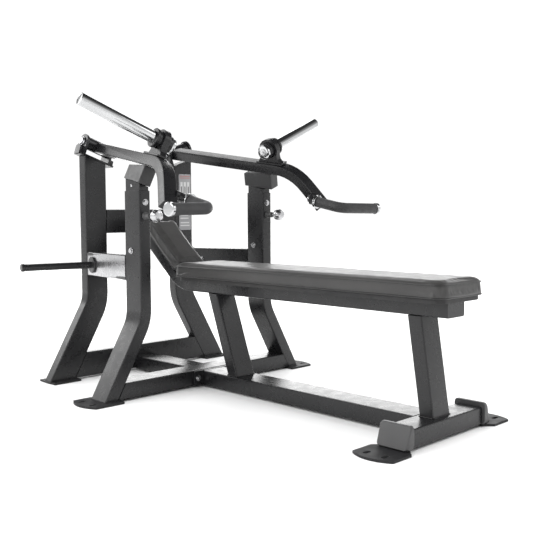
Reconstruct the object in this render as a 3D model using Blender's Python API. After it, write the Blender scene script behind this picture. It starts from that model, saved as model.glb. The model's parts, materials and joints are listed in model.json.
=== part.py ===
"""Plate-loaded lying chest press: bench, press frame and two converging lever arms.

Metres, +Z up. X = 0 is the symmetry plane, +X is the right side, -Y is the foot
end of the bench and +Y the rear of the press frame. The floor is z = 0.
"""
import math

import bmesh
import bpy
from mathutils import Vector

# ---------------------------------------------------------------- driving sizes
GAP = 0.0003                 # clearance kept between touching pieces
PLATE_T = 0.008              # foot plate thickness
FRONT_FOOT_X = 0.590         # outboard ends of the foot plates
REAR_FOOT_X = 0.468
REAR_FOOT_Y = 0.560          # rear edge of the whole machine
BENCH_FOOT_X = 0.342
TUBE_R = 0.006               # corner radius of the rectangular tubes
WALL = 0.003                 # tube wall where a tube is really hollow

FRONT_IN = 0.295             # front upright, inner face X
FRONT_OUT = 0.345            # front upright, outer face X
FRONT_DEPTH = 0.100          # front upright, Y from 0 back to here
FRONT_TOP = 0.784
FRONT_BEND_Z = 0.335         # where the leg starts to splay

REAR_IN = 0.183              # rear upright, inner face X
REAR_OUT = 0.2855            # rear upright, outer face X
REAR_Y = 0.4675              # rear upright, front face
REAR_DEPTH = 0.050
REAR_TOP_OUT = 0.9405        # height of the sloped top at the outer face
REAR_BEND_Z = 0.362
SPLAY = math.radians(29.5)   # outward lean of all four legs
LEG_BEND_R = 0.160           # centreline radius of the leg bends

PLACARD_X = 0.2420           # plate on the right rear upright's front face
PLACARD_Z = 0.7480
PLACARD_W = 0.070
PLACARD_H = 0.258
PLACARD_T = 0.002

TILT = math.radians(19.1)    # pivot axles rise outward by this angle
PIVOT = Vector((0.2904, 0.4925, 1.0064))   # outer end of the right axle
AXLE_R = 0.0120
EAR_R = 0.0330
EAR_K0 = -0.0240             # outer ear of the pivot bracket
EAR_K1 = -0.0130
INNER_EAR_K0 = -0.1480
INNER_EAR_K1 = -0.1370
BASE_K0 = -0.1700            # base plate on the sloped upright top
BASE_K1 = -0.0040
LUG_K = 0.0020
HUB_K0 = -0.1355
HUB_K1 = -0.0255
HUB_R = 0.0275

CROSS_H = 0.061              # base tubes: 61 mm high, 104 mm wide
CROSS_W = 0.104
FLANGE_T = 0.010
FLANGE_H = 0.058
FLANGE_HALF = 0.100
FLANGE_BOLT_X = 0.079
FLANGE_BOLT_Z = 0.038
FLANGE_HOLE_R = 0.0054
BEAM_HALF = 0.0575
REAR_CROSS_TOP = 0.1120
UPPER_CROSS_Z0 = 0.6134
UPPER_CROSS_Z1 = 0.7149
FOOT_Y0 = -1.1235            # foot crossmember, front face
FOOT_Y1 = -1.0300
FOOT_HALF = 0.1950
CAP_T = 0.014                # end cap thickness at the top
CAP_LEAN = 0.024             # extra thickness at the bottom
CAP_DEPTH = 0.1150
CAP_TOP = 0.0810

BRACE_W = 0.048              # side brace: 48 x 98 mm rail
BRACE_H = 0.098
BRACE_INSET = 0.0245         # its centre line, in from the uprights' outer faces
BRACE_REAR_Z = 0.4870
BRACE_FRONT_Z = 0.4910
PEG_Y = 0.405                # storage peg, square to the brace
PEG_Z = 0.4860
PEG_R = 0.0142
PEG_COLLAR_R = 0.034
PEG_LENGTH = 0.301

BENCH_HALF = 0.0468          # bench tube half width
BENCH_Z0 = 0.3803
BENCH_Z1 = 0.4289
BENCH_END_Y = -1.1450
BENCH_RISE = math.radians(40.4)
BENCH_BEND_R = 0.170
BENCH_BEND_Y = 0.087         # where the spine starts to rise
PAD_HALF = 0.1270
PAD_Z0 = 0.4440
PAD_Z1 = 0.4965
PAD_Y0 = -1.1760
PAD_Y1 = 0.0950
BOARD_HALF = 0.1170          # plywood board under the long cushion
BOARD_Y0 = -1.1660
BOARD_Y1 = 0.0740
POST_T = 0.052               # bench posts, front to back
HEAD_Y = 0.262               # middle of the head cushion, on the rising spine
HEAD_HALF = 0.068
HEAD_HALF_LENGTH = 0.138
HEAD_BASE = 0.0160           # thickness of the bracket under it
HEAD_T = 0.055

ARM_TOE = math.radians(12.0)     # each arm runs forward and outward
ARM_FALL = math.radians(8.7)     # and drops towards the handle
ARM_ROLL = math.radians(20.4)    # its section is rolled with the pivot axle
ARM_K0 = -0.1268             # arm tube, inner face: distance across the arm
ARM_K1 = -0.0720             # arm tube, outer face
ARM_T0 = -0.0239             # underside of the straight run
ARM_T1 = 0.0197
ARM_BEND_S = 0.5707
ARM_BEND = math.radians(46.4)
ARM_BEND_R = 0.184
ARM_TAIL = 0.113             # straight length after the bend

HANDLE_ROOT = (-0.1640, 0.7898, -0.0949)    # across, along and above the arm
HANDLE_ELBOW = (-0.1820, 0.9162, -0.0964)
HANDLE_TIP = (-0.0161, 0.9777, -0.1508)
HANDLE_BEND_R = 0.040
GRIP_R = 0.0210
GRIP_SIDES = 18
CORE_R = 0.0130              # bar inside the rubber grip
COLLAR_R = 0.0275
END_DISC_R = 0.0240
BOSS_K = -0.1500             # handle boss on the arm's inner face
BOSS_S = 0.756
BOSS_T = -0.0925
BOSS_R = 0.0170
STUB_R = 0.0175

HORN_S = 0.5394              # horn axis where it crosses k = 0
HORN_T = 0.0842
HORN_SWEEP = 0.0214          # forward and upward slopes of the horn
HORN_LIFT = 0.0396
HORN_R = 0.0240
HORN_TIP_K = 0.248
HORN_CAP_K = -0.1484
BARREL_K0 = -0.1350
BARREL_K1 = -0.0620
BARREL_R = 0.0335
RING_R = 0.0450              # clamp ring of the horn bracket
RING_K0 = -0.1160
RING_K1 = -0.0900

SADDLE_K0 = -0.1230
SADDLE_K1 = -0.0700
SADDLE_S0 = 0.4020
SADDLE_S1 = 0.5440
SADDLE_T0 = -0.0930
SADDLE_WEDGE = 0.0130

STOP_DROP = 0.014            # travel of the height-adjusting posts
POST_DEPTH = 0.185           # length of post inside the upright at rest
POCKET_DEPTH = 0.205
KNOB_R = 0.0245
PIN_X = 0.3205
PIN_Z = 0.6894
BRACE_BOLT_Y = 0.058
BRACE_BOLT_Z = 0.5570

SIDES = (("left", -1.0), ("right", 1.0))


# ---------------------------------------------------------------- materials
def material(name, colour, roughness, metallic):
    mat = bpy.data.materials.get(name) or bpy.data.materials.new(name)
    mat.use_nodes = True
    bsdf = mat.node_tree.nodes["Principled BSDF"]
    bsdf.inputs["Base Color"].default_value = (*colour, 1.0)
    bsdf.inputs["Roughness"].default_value = roughness
    bsdf.inputs["Metallic"].default_value = metallic
    mat.diffuse_color = (*colour, 1.0)
    return mat


def black_paint():
    return material("black_paint", (0.035, 0.035, 0.038), 0.38, 0.0)


def chrome():
    return material("chrome", (0.82, 0.82, 0.83), 0.14, 1.0)


def bright_steel():
    return material("bright_steel", (0.62, 0.62, 0.63), 0.28, 1.0)


def vinyl():
    return material("vinyl", (0.045, 0.045, 0.047), 0.50, 0.0)


def rubber():
    return material("rubber", (0.040, 0.040, 0.042), 0.70, 0.0)


def black_plastic():
    return material("black_plastic", (0.050, 0.050, 0.052), 0.55, 0.0)


def board():
    return material("board", (0.020, 0.020, 0.021), 0.60, 0.0)


def placard_plate():
    return material("placard_plate", (0.42, 0.42, 0.43), 0.45, 0.0)


# ---------------------------------------------------------------- mesh helpers
def finish(name, bm, mat, sx=1.0, smooth=True, origin=None):
    """Turn a bmesh built on the right side into a named object on side sx."""
    if sx < 0.0:
        for v in bm.verts:
            v.co.x = -v.co.x
    bmesh.ops.recalc_face_normals(bm, faces=bm.faces[:])
    if bm.calc_volume(signed=True) < 0.0:
        bmesh.ops.reverse_faces(bm, faces=bm.faces[:])
    place = Vector((0.0, 0.0, 0.0)) if origin is None else Vector(origin)
    if sx < 0.0:
        place.x = -place.x
    for v in bm.verts:
        v.co -= place
    mesh = bpy.data.meshes.new(name)
    bm.to_mesh(mesh)
    bm.free()
    mesh.materials.append(mat)
    if smooth:
        mesh.shade_smooth()
        mesh.set_sharp_from_angle(angle=math.radians(32.0))
    ob = bpy.data.objects.new(name, mesh)
    ob.location = place
    bpy.context.scene.collection.objects.link(ob)
    return ob


def ngon_rings(bm, rings, cap=True):
    """Skin a list of equal-length closed rings of points, capped at both ends."""
    loops = []
    for ring in rings:
        loops.append([bm.verts.new(p) for p in ring])
    count = len(loops[0])
    for a, b in zip(loops[:-1], loops[1:]):
        for i in range(count):
            j = (i + 1) % count
            bm.faces.new((a[i], a[j], b[j], b[i]))
    if cap:
        bm.faces.new(list(reversed(loops[0])))
        bm.faces.new(loops[-1])
    return loops


def rounded_rect(width, height, radius, steps=2):
    """Closed outline centred on the origin, counter-clockwise."""
    pts = []
    hw = width / 2.0 - radius
    hh = height / 2.0 - radius
    corners = ((hw, hh, 0.0), (-hw, hh, 90.0), (-hw, -hh, 180.0), (hw, -hh, 270.0))
    for cx, cy, start in corners:
        for i in range(steps + 1):
            ang = math.radians(start + 90.0 * i / steps)
            pts.append((cx + radius * math.cos(ang), cy + radius * math.sin(ang)))
    return pts


def ring_at(profile, centre, e1, e2):
    return [centre + e1 * a + e2 * b for a, b in profile]


def slide_to_plane(ring, direction, point, normal):
    """Move every ring point along direction until it lies on the plane."""
    out = []
    for p in ring:
        step = (point - p).dot(normal) / direction.dot(normal)
        out.append(p + direction * step)
    return out


def straight_tube(bm, profile, start, end, e1, e2, cut0=None, cut1=None):
    """Closed bar from start to end; cut0 and cut1 are (point, normal) planes."""
    direction = (end - start).normalized()
    ring0 = ring_at(profile, start, e1, e2)
    ring1 = ring_at(profile, end, e1, e2)
    if cut0 is not None:
        ring0 = slide_to_plane(ring0, direction, *cut0)
    if cut1 is not None:
        ring1 = slide_to_plane(ring1, direction, *cut1)
    ngon_rings(bm, [ring0, ring1])


def add_box(bm, x0, x1, y0, y1, z0, z1):
    pts = [Vector((x, y, z)) for z in (z0, z1) for x, y in ((x0, y0), (x1, y0), (x1, y1), (x0, y1))]
    ngon_rings(bm, [pts[:4], pts[4:]])


def basis_for(axis):
    axis = axis.normalized()
    helper = Vector((0.0, 0.0, 1.0)) if abs(axis.z) < 0.9 else Vector((1.0, 0.0, 0.0))
    e1 = axis.cross(helper).normalized()
    e2 = axis.cross(e1).normalized()
    return e1, e2


def turned(bm, origin, axis, stations, sides=24):
    """Solid of revolution: stations are (distance along axis, radius)."""
    axis = axis.normalized()
    e1, e2 = basis_for(axis)
    rings = []
    for dist, radius in stations:
        ring = []
        for i in range(sides):
            ang = 2.0 * math.pi * i / sides
            ring.append(origin + axis * dist + (e1 * math.cos(ang) + e2 * math.sin(ang)) * radius)
        rings.append(ring)
    ngon_rings(bm, rings)


def sleeve(bm, origin, axis, stations, bore, sides=24):
    """Turned body with a straight through bore of radius bore."""
    axis = axis.normalized()
    e1, e2 = basis_for(axis)
    loops = []
    outline = list(stations) + [(stations[-1][0], bore), (stations[0][0], bore)]
    for dist, radius in outline:
        ring = []
        for i in range(sides):
            ang = 2.0 * math.pi * i / sides
            p = origin + axis * dist + (e1 * math.cos(ang) + e2 * math.sin(ang)) * radius
            ring.append(bm.verts.new(p))
        loops.append(ring)
    loops.append(loops[0])
    for a, b in zip(loops[:-1], loops[1:]):
        for i in range(sides):
            j = (i + 1) % sides
            bm.faces.new((a[i], a[j], b[j], b[i]))


def plate_outline(bm, outline, z0, z1):
    lower = [Vector((x, y, z0)) for x, y in outline]
    upper = [Vector((x, y, z1)) for x, y in outline]
    ngon_rings(bm, [lower, upper])


def cutter(name, bm, origin=None):
    ob = finish(name, bm, black_paint(), smooth=False, origin=origin)
    ob.hide_render = True
    ob.display_type = 'WIRE'
    return ob


def cut(ob, tool):
    mod = ob.modifiers.new("cut_" + tool.name, 'BOOLEAN')
    mod.operation = 'DIFFERENCE'
    mod.solver = 'EXACT'
    mod.object = tool


# ---------------------------------------------------------------- legs
def leg_rings(profile, inner, outer, y_mid, bend_z, top_ring_z, top_cut, foot_z):
    """Rings of an upright that runs down, bends outward and splays to the floor."""
    x_mid = (inner + outer) / 2.0
    e2 = Vector((0.0, 1.0, 0.0))
    rings = []
    top = ring_at(profile, Vector((x_mid, y_mid, top_ring_z)), Vector((1.0, 0.0, 0.0)), e2)
    if top_cut is not None:
        top = slide_to_plane(top, Vector((0.0, 0.0, 1.0)), *top_cut)
    rings.append(top)
    centre = Vector((x_mid + LEG_BEND_R, y_mid, bend_z))
    steps = 5
    for i in range(steps + 1):
        ang = SPLAY * i / steps
        radial = Vector((-math.cos(ang), 0.0, -math.sin(ang)))
        rings.append(ring_at(profile, centre + radial * LEG_BEND_R, -radial, e2))
    down = Vector((math.sin(SPLAY), 0.0, -math.cos(SPLAY)))
    floor = (Vector((0.0, 0.0, foot_z)), Vector((0.0, 0.0, 1.0)))
    rings.append(slide_to_plane(rings[-1], down, *floor))
    return rings


def leg_edge_x(side_x, x_mid, bend_z, z):
    """X of a splayed leg's face at height z, from its face X at the top."""
    radius = LEG_BEND_R - (side_x - x_mid)
    cx = x_mid + LEG_BEND_R
    x_end = cx - radius * math.cos(SPLAY)
    z_end = bend_z - radius * math.sin(SPLAY)
    return x_end + (z_end - z) * math.tan(SPLAY)


def front_upright(side, sx):
    width = FRONT_OUT - FRONT_IN
    profile = rounded_rect(width, FRONT_DEPTH, TUBE_R)
    rings = leg_rings(profile, FRONT_IN, FRONT_OUT, FRONT_DEPTH / 2.0, FRONT_BEND_Z,
                      FRONT_TOP, None, PLATE_T + GAP)
    inner = rounded_rect(width - 2.0 * WALL, FRONT_DEPTH - 2.0 * WALL, TUBE_R - WALL + 0.001)
    x_mid = (FRONT_IN + FRONT_OUT) / 2.0
    ex = Vector((1.0, 0.0, 0.0))
    ey = Vector((0.0, 1.0, 0.0))
    mouth = ring_at(inner, Vector((x_mid, FRONT_DEPTH / 2.0, FRONT_TOP)), ex, ey)
    floor = ring_at(inner, Vector((x_mid, FRONT_DEPTH / 2.0, FRONT_TOP - POCKET_DEPTH)), ex, ey)
    bm = bmesh.new()
    ngon_rings(bm, [floor, mouth] + rings)
    ob = finish("front_upright_" + side, bm, black_paint(), sx)
    tool = bmesh.new()
    turned(tool, Vector((PIN_X, -0.010, PIN_Z)), ey, [(0.0, 0.0056), (0.020, 0.0056)], 16)
    cut(ob, cutter("hole_pin_" + side, mirror_bm(fix(tool), sx)))
    drill = bmesh.new()
    turned(drill, Vector((FRONT_IN - 0.01, BRACE_BOLT_Y, BRACE_BOLT_Z)), ex, [(0.0, 0.0059), (0.080, 0.0059)], 16)
    cut(ob, cutter("hole_brace_" + side, mirror_bm(fix(drill), sx)))
    return ob


def mirror_bm(bm, sx):
    if sx < 0.0:
        for v in bm.verts:
            v.co.x = -v.co.x
        bmesh.ops.reverse_faces(bm, faces=bm.faces[:])
    return bm


def rear_top_plane():
    """Sloped top of the rear upright, square to the pivot axle's upright plane."""
    point = Vector((REAR_OUT, REAR_Y, REAR_TOP_OUT))
    normal = Vector((-math.sin(TILT), 0.0, math.cos(TILT)))
    return point, normal


def rear_upright(side, sx):
    profile = rounded_rect(REAR_OUT - REAR_IN, REAR_DEPTH, TUBE_R)
    rings = leg_rings(profile, REAR_IN, REAR_OUT, REAR_Y + REAR_DEPTH / 2.0, REAR_BEND_Z,
                      0.90, rear_top_plane(), PLATE_T + GAP)
    bm = bmesh.new()
    ngon_rings(bm, rings)
    return finish("rear_upright_" + side, bm, black_paint(), sx)


# ---------------------------------------------------------------- base frame
def front_x_mid():
    return (FRONT_IN + FRONT_OUT) / 2.0


def rear_x_mid():
    return (REAR_IN + REAR_OUT) / 2.0


def leg_inner_plane(inner, x_mid, bend_z, sx):
    """Plane of a splayed leg's inner face, set back by the clearance."""
    x0 = leg_edge_x(inner, x_mid, bend_z, 0.0) - GAP / math.cos(SPLAY)
    normal = Vector((sx * math.cos(SPLAY), 0.0, math.sin(SPLAY)))
    return Vector((sx * x0, 0.0, 0.0)), normal


def crosstube(name, y0, y1, z0, z1, inner, x_mid, bend_z):
    bm = bmesh.new()
    profile = rounded_rect(y1 - y0, z1 - z0, TUBE_R)
    centre = Vector((0.0, (y0 + y1) / 2.0, (z0 + z1) / 2.0))
    ey = Vector((0.0, 1.0, 0.0))
    ez = Vector((0.0, 0.0, 1.0))
    straight_tube(bm, profile, centre - Vector((0.2, 0.0, 0.0)), centre + Vector((0.2, 0.0, 0.0)), ey, ez,
                  leg_inner_plane(inner, x_mid, bend_z, -1.0), leg_inner_plane(inner, x_mid, bend_z, 1.0))
    return finish(name, bm, black_paint())


def front_crosstube():
    ob = crosstube("front_crosstube", 0.0, CROSS_W, PLATE_T, PLATE_T + CROSS_H,
                   FRONT_IN, front_x_mid(), FRONT_BEND_Z)
    for side, sx in SIDES:
        hole = bmesh.new()
        turned(hole, Vector((sx * FLANGE_BOLT_X, 0.0210, FLANGE_BOLT_Z)), Vector((0.0, -1.0, 0.0)),
               [(0.0, FLANGE_HOLE_R), (0.040, FLANGE_HOLE_R)], 16)
        cut(ob, cutter("crosstube_hole_" + side, fix(hole)))
    return ob


def rear_crosstube():
    return crosstube("rear_crosstube", REAR_Y, REAR_Y + REAR_DEPTH, PLATE_T, REAR_CROSS_TOP,
                     REAR_IN, rear_x_mid(), REAR_BEND_Z)


def x_bar(name, x0, x1, y0, y1, z0, z1, radius=TUBE_R):
    bm = bmesh.new()
    profile = rounded_rect(y1 - y0, z1 - z0, radius)
    cy = (y0 + y1) / 2.0
    cz = (z0 + z1) / 2.0
    straight_tube(bm, profile, Vector((x0, cy, cz)), Vector((x1, cy, cz)),
                  Vector((0.0, 1.0, 0.0)), Vector((0.0, 0.0, 1.0)))
    return finish(name, bm, black_paint())


def y_bar(name, y0, y1, half, z0, z1):
    bm = bmesh.new()
    profile = rounded_rect(2.0 * half, z1 - z0, TUBE_R)
    cz = (z0 + z1) / 2.0
    straight_tube(bm, profile, Vector((0.0, y0, cz)), Vector((0.0, y1, cz)),
                  Vector((1.0, 0.0, 0.0)), Vector((0.0, 0.0, 1.0)))
    return finish(name, bm, black_paint())


def base_beams():
    top = PLATE_T + CROSS_H - 0.003
    beam = y_bar("base_beam_front", FOOT_Y1 + GAP, -FLANGE_T / 2.0, BEAM_HALF, PLATE_T, top)
    union(beam, cutter("beam_flange", base_flange()))
    for side, sx in SIDES:
        hole = bmesh.new()
        turned(hole, Vector((sx * FLANGE_BOLT_X, 0.010, FLANGE_BOLT_Z)), Vector((0.0, -1.0, 0.0)),
               [(0.0, FLANGE_HOLE_R), (0.040, FLANGE_HOLE_R)], 16)
        cut(beam, cutter("flange_hole_" + side, fix(hole)))
    y_bar("base_beam_rear", CROSS_W + GAP, REAR_Y - GAP, BEAM_HALF - 0.006, PLATE_T, top)


def base_flange():
    """Bolting flange at the rear end of the front beam."""
    bm = bmesh.new()
    outline = rounded_rect(2.0 * FLANGE_HALF, FLANGE_H, 0.010)
    front = [Vector((a, -FLANGE_T - GAP, FLANGE_BOLT_Z + b)) for a, b in outline]
    back = [Vector((a, -GAP, FLANGE_BOLT_Z + b)) for a, b in outline]
    ngon_rings(bm, [front, back])
    return fix(bm)


def flange_bolt(side, sx):
    """Bolt through the flange into the front crosstube."""
    bm = bmesh.new()
    face = Vector((FLANGE_BOLT_X, -FLANGE_T - 2.0 * GAP, FLANGE_BOLT_Z))
    turned(bm, face, Vector((0.0, -1.0, 0.0)),
           [(-0.030, 0.0050), (-0.0001, 0.0050), (0.0, 0.0125), (0.0020, 0.0125), (0.0022, 0.0085),
            (0.0080, 0.0085), (0.0090, 0.0070)], 12)
    return finish("flange_bolt_" + side, bm, bright_steel(), sx)


def upper_crosstube():
    return x_bar("upper_crosstube", -REAR_IN + GAP, REAR_IN - GAP, REAR_Y, REAR_Y + REAR_DEPTH,
                 UPPER_CROSS_Z0, UPPER_CROSS_Z1)


def foot_crossmember():
    bm = bmesh.new()
    profile = rounded_rect(FOOT_Y1 - FOOT_Y0, CROSS_H - 0.003, TUBE_R)
    centre = Vector((0.0, (FOOT_Y0 + FOOT_Y1) / 2.0, PLATE_T + GAP + (CROSS_H - 0.003) / 2.0))
    half = Vector((FOOT_HALF, 0.0, 0.0))
    straight_tube(bm, profile, centre - half, centre + half, Vector((0.0, 1.0, 0.0)), Vector((0.0, 0.0, 1.0)))
    return finish("foot_crossmember", bm, black_paint())


def foot_end_cap(side, sx):
    """Thick moulded cap on the crossmember's end; its face leans out at the bottom."""
    bm = bmesh.new()
    y_mid = (FOOT_Y0 + FOOT_Y1) / 2.0
    z_low = PLATE_T + GAP
    z_high = CAP_TOP
    rings = []
    for face, shrink in ((0.0, 0.001), (0.0, 0.0), (0.80, 0.0), (1.0, 0.004)):
        ring = []
        for a, b in rounded_rect(CAP_DEPTH - 2.0 * shrink, z_high - z_low - 2.0 * shrink, 0.012 - shrink, 3):
            z = (z_low + z_high) / 2.0 + b
            lean = CAP_LEAN * (z_high - z) / (z_high - z_low)
            x = FOOT_HALF + GAP + (0.001 if len(rings) == 1 else 0.0) + face * (CAP_T + lean)
            ring.append(Vector((x, y_mid + a, z)))
        rings.append(ring)
    ngon_rings(bm, rings)
    return finish("foot_end_cap_" + side, bm, black_plastic(), sx)


def side_brace(side, sx):
    """Slanted rail between the rear upright's front face and the front upright's back."""
    bm = bmesh.new()
    start = Vector((REAR_OUT - BRACE_INSET, REAR_Y, BRACE_REAR_Z))
    end = Vector((FRONT_OUT - BRACE_INSET, FRONT_DEPTH, BRACE_FRONT_Z))
    direction = (end - start).normalized()
    side_dir = Vector((-direction.y, direction.x, 0.0)).normalized()
    profile = rounded_rect(BRACE_W, BRACE_H, TUBE_R)
    y_axis = Vector((0.0, 1.0, 0.0))
    straight_tube(bm, profile, start, end, side_dir, Vector((0.0, 0.0, 1.0)),
                  (Vector((0.0, REAR_Y - GAP, 0.0)), y_axis), (Vector((0.0, FRONT_DEPTH + GAP, 0.0)), y_axis))
    return finish("side_brace_" + side, bm, black_paint(), sx)


def brace_outer_x(y):
    share = (REAR_Y - y) / (REAR_Y - FRONT_DEPTH)
    mid = (REAR_OUT - BRACE_INSET) + share * (FRONT_OUT - REAR_OUT)
    slope = math.atan2(FRONT_OUT - REAR_OUT, REAR_Y - FRONT_DEPTH)
    return mid + BRACE_W / 2.0 / math.cos(slope)


def storage_peg(side, sx):
    """Plate storage peg with its collar, square to the side rail."""
    bm = bmesh.new()
    slope = math.atan2(FRONT_OUT - REAR_OUT, REAR_Y - FRONT_DEPTH)
    axis = Vector((math.cos(slope), math.sin(slope), 0.0))
    origin = Vector((brace_outer_x(PEG_Y), PEG_Y, PEG_Z)) + axis * GAP
    turned(bm, origin, axis, [(0.0, PEG_COLLAR_R), (0.007, PEG_COLLAR_R), (0.009, PEG_COLLAR_R - 0.002), (0.0095, PEG_R),
                              (PEG_LENGTH - 0.013, PEG_R), (PEG_LENGTH - 0.0125, PEG_R + 0.0016),
                              (PEG_LENGTH - 0.002, PEG_R + 0.0016), (PEG_LENGTH, PEG_R - 0.0002)], 20)
    return finish("storage_peg_" + side, bm, black_paint(), sx)


# ---------------------------------------------------------------- foot plates
def foot_plate(name, span, depth, sx, bulge, chamfer, holes):
    """Floor plate from x0 to x1: outboard end a shallow arc, inboard corners chamfered."""
    x0, x1 = span
    y0, y1 = depth
    half = (y1 - y0) / 2.0
    outline = [(x0, y0 + chamfer), (x0 + chamfer, y0)]
    for i in range(11):
        share = -1.0 + 0.2 * i
        outline.append((x1 - bulge * share * share, (y0 + y1) / 2.0 + half * share))
    outline += [(x0 + chamfer, y1), (x0, y1 - chamfer)]
    bm = bmesh.new()
    plate_outline(bm, outline, 0.0, PLATE_T)
    ob = finish(name, bm, black_paint(), sx, smooth=False)
    tool = bmesh.new()
    for hx, hy, half, radius in holes:
        slot = []
        for start, cx in ((-90.0, hx + half), (90.0, hx - half)):
            for i in range(7):
                ang = math.radians(start + 30.0 * i)
                slot.append((cx + radius * math.cos(ang), hy + radius * math.sin(ang)))
        plate_outline(tool, slot, -0.004, PLATE_T + 0.004)
    cut(ob, cutter("slot_" + name, mirror_bm(fix(tool), sx)))
    return ob


def foot_plates(side, sx):
    front_x0 = leg_edge_x(FRONT_IN, front_x_mid(), FRONT_BEND_Z, PLATE_T) - 0.008
    rear_x0 = leg_edge_x(REAR_IN, rear_x_mid(), REAR_BEND_Z, PLATE_T) - 0.010
    foot_plate("front_foot_" + side, (front_x0, FRONT_FOOT_X), (-0.0290, 0.1280), sx, 0.024, 0.002,
               [(FRONT_FOOT_X - 0.036, 0.0120, 0.008, 0.007), (FRONT_FOOT_X - 0.036, 0.0870, 0.008, 0.007)])
    foot_plate("rear_foot_" + side, (rear_x0, REAR_FOOT_X), (0.4375, REAR_FOOT_Y), sx, 0.002, 0.002,
               [(REAR_FOOT_X - 0.014, 0.4510, 0.001, 0.005), (REAR_FOOT_X - 0.014, 0.5465, 0.001, 0.005)])
    foot_plate("bench_foot_" + side, (FOOT_HALF + 0.006, BENCH_FOOT_X), (-1.1500, -1.0020), sx, 0.024, 0.030,
               [(BENCH_FOOT_X - 0.040, -1.0430, 0.008, 0.007), (BENCH_FOOT_X - 0.040, -1.1090, 0.008, 0.007)])


# ---------------------------------------------------------------- bench
def bench_tube():
    """Bench spine: level under the pad, then rising to the upper crosstube."""
    height = BENCH_Z1 - BENCH_Z0
    z_mid = (BENCH_Z0 + BENCH_Z1) / 2.0
    profile = rounded_rect(2.0 * BENCH_HALF, height, TUBE_R)
    ex = Vector((1.0, 0.0, 0.0))
    radius = BENCH_BEND_R
    rings = [ring_at(profile, Vector((0.0, BENCH_END_Y, z_mid)), ex, Vector((0.0, 0.0, 1.0)))]
    centre = Vector((0.0, BENCH_BEND_Y, z_mid + radius))
    steps = 6
    for i in range(steps + 1):
        ang = BENCH_RISE * i / steps
        up = Vector((0.0, -math.sin(ang), math.cos(ang)))
        rings.append(ring_at(profile, centre - up * radius, ex, up))
    along = Vector((0.0, math.cos(BENCH_RISE), math.sin(BENCH_RISE)))
    wall = (Vector((0.0, REAR_Y - GAP, 0.0)), Vector((0.0, 1.0, 0.0)))
    rings.append(slide_to_plane(rings[-1], along, *wall))
    bm = bmesh.new()
    ngon_rings(bm, rings)
    return finish("bench_tube", bm, black_paint())


def rising_top(y):
    """Height of the rising spine's top face at y."""
    radius = BENCH_BEND_R - (BENCH_Z1 - BENCH_Z0) / 2.0
    arc_y = BENCH_BEND_Y + radius * math.sin(BENCH_RISE)
    arc_z = BENCH_Z1 + radius * (1.0 - math.cos(BENCH_RISE))
    return arc_z + (y - arc_y) * math.tan(BENCH_RISE)


def leaning_post(name, y_front_top, y_front_base, depth, z_base, z_top):
    bm = bmesh.new()
    direction = Vector((0.0, y_front_top - y_front_base, z_top - z_base)).normalized()
    across = Vector((0.0, direction.z, -direction.y))
    profile = rounded_rect(2.0 * BENCH_HALF, depth, TUBE_R)
    base_front = Vector((0.0, y_front_base, z_base))
    start = base_front + across * (depth / 2.0)
    end = start + direction * ((z_top - z_base) / direction.z)
    up = Vector((0.0, 0.0, 1.0))
    straight_tube(bm, profile, start, end, Vector((1.0, 0.0, 0.0)), across,
                  (Vector((0.0, 0.0, z_base)), up), (Vector((0.0, 0.0, z_top)), up))
    return finish(name, bm, black_paint())


def bench_posts():
    beam_top = PLATE_T + CROSS_H - 0.003
    leaning_post("head_post", -0.0900, -0.2050, POST_T, beam_top + GAP, BENCH_Z0 - GAP)
    leaning_post("foot_post", -1.0500, -1.0985, POST_T, beam_top + 2.0 * GAP, BENCH_Z0 - GAP)


def cushion(bm, rings_spec, centre, ex, ey, ez):
    rings = []
    for half_x, half_y, radius, height in rings_spec:
        prof = rounded_rect(2.0 * half_x, 2.0 * half_y, radius, 4)
        rings.append([centre + ex * a + ey * b + ez * height for a, b in prof])
    ngon_rings(bm, rings)


def bench_pad():
    bm = bmesh.new()
    half_y = (PAD_Y1 - PAD_Y0) / 2.0
    height = PAD_Z1 - PAD_Z0
    spec = [(PAD_HALF - 0.004, half_y - 0.004, 0.040, 0.0),
            (PAD_HALF, half_y, 0.044, 0.006),
            (PAD_HALF, half_y, 0.044, height - 0.016),
            (PAD_HALF - 0.005, half_y - 0.005, 0.040, height - 0.005),
            (PAD_HALF - 0.016, half_y - 0.016, 0.030, height)]
    centre = Vector((0.0, (PAD_Y0 + PAD_Y1) / 2.0, PAD_Z0))
    cushion(bm, spec, centre, Vector((1.0, 0.0, 0.0)), Vector((0.0, 1.0, 0.0)), Vector((0.0, 0.0, 1.0)))
    return finish("bench_pad", bm, vinyl())


def bench_board():
    bm = bmesh.new()
    half_y = (BOARD_Y1 - BOARD_Y0) / 2.0
    thick = PAD_Z0 - BENCH_Z1 - 2.0 * GAP
    spec = [(BOARD_HALF, half_y, 0.036, 0.0), (BOARD_HALF, half_y, 0.036, thick)]
    centre = Vector((0.0, (BOARD_Y0 + BOARD_Y1) / 2.0, BENCH_Z1 + GAP))
    cushion(bm, spec, centre, Vector((1.0, 0.0, 0.0)), Vector((0.0, 1.0, 0.0)), Vector((0.0, 0.0, 1.0)))
    return finish("bench_board", bm, board())


def incline_frame():
    """Local axes of the small head cushion: origin on the spine's top face."""
    origin = Vector((0.0, HEAD_Y, rising_top(HEAD_Y)))
    along = Vector((0.0, math.cos(BENCH_RISE), math.sin(BENCH_RISE)))
    up = Vector((0.0, -math.sin(BENCH_RISE), math.cos(BENCH_RISE)))
    return origin, along, up


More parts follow.
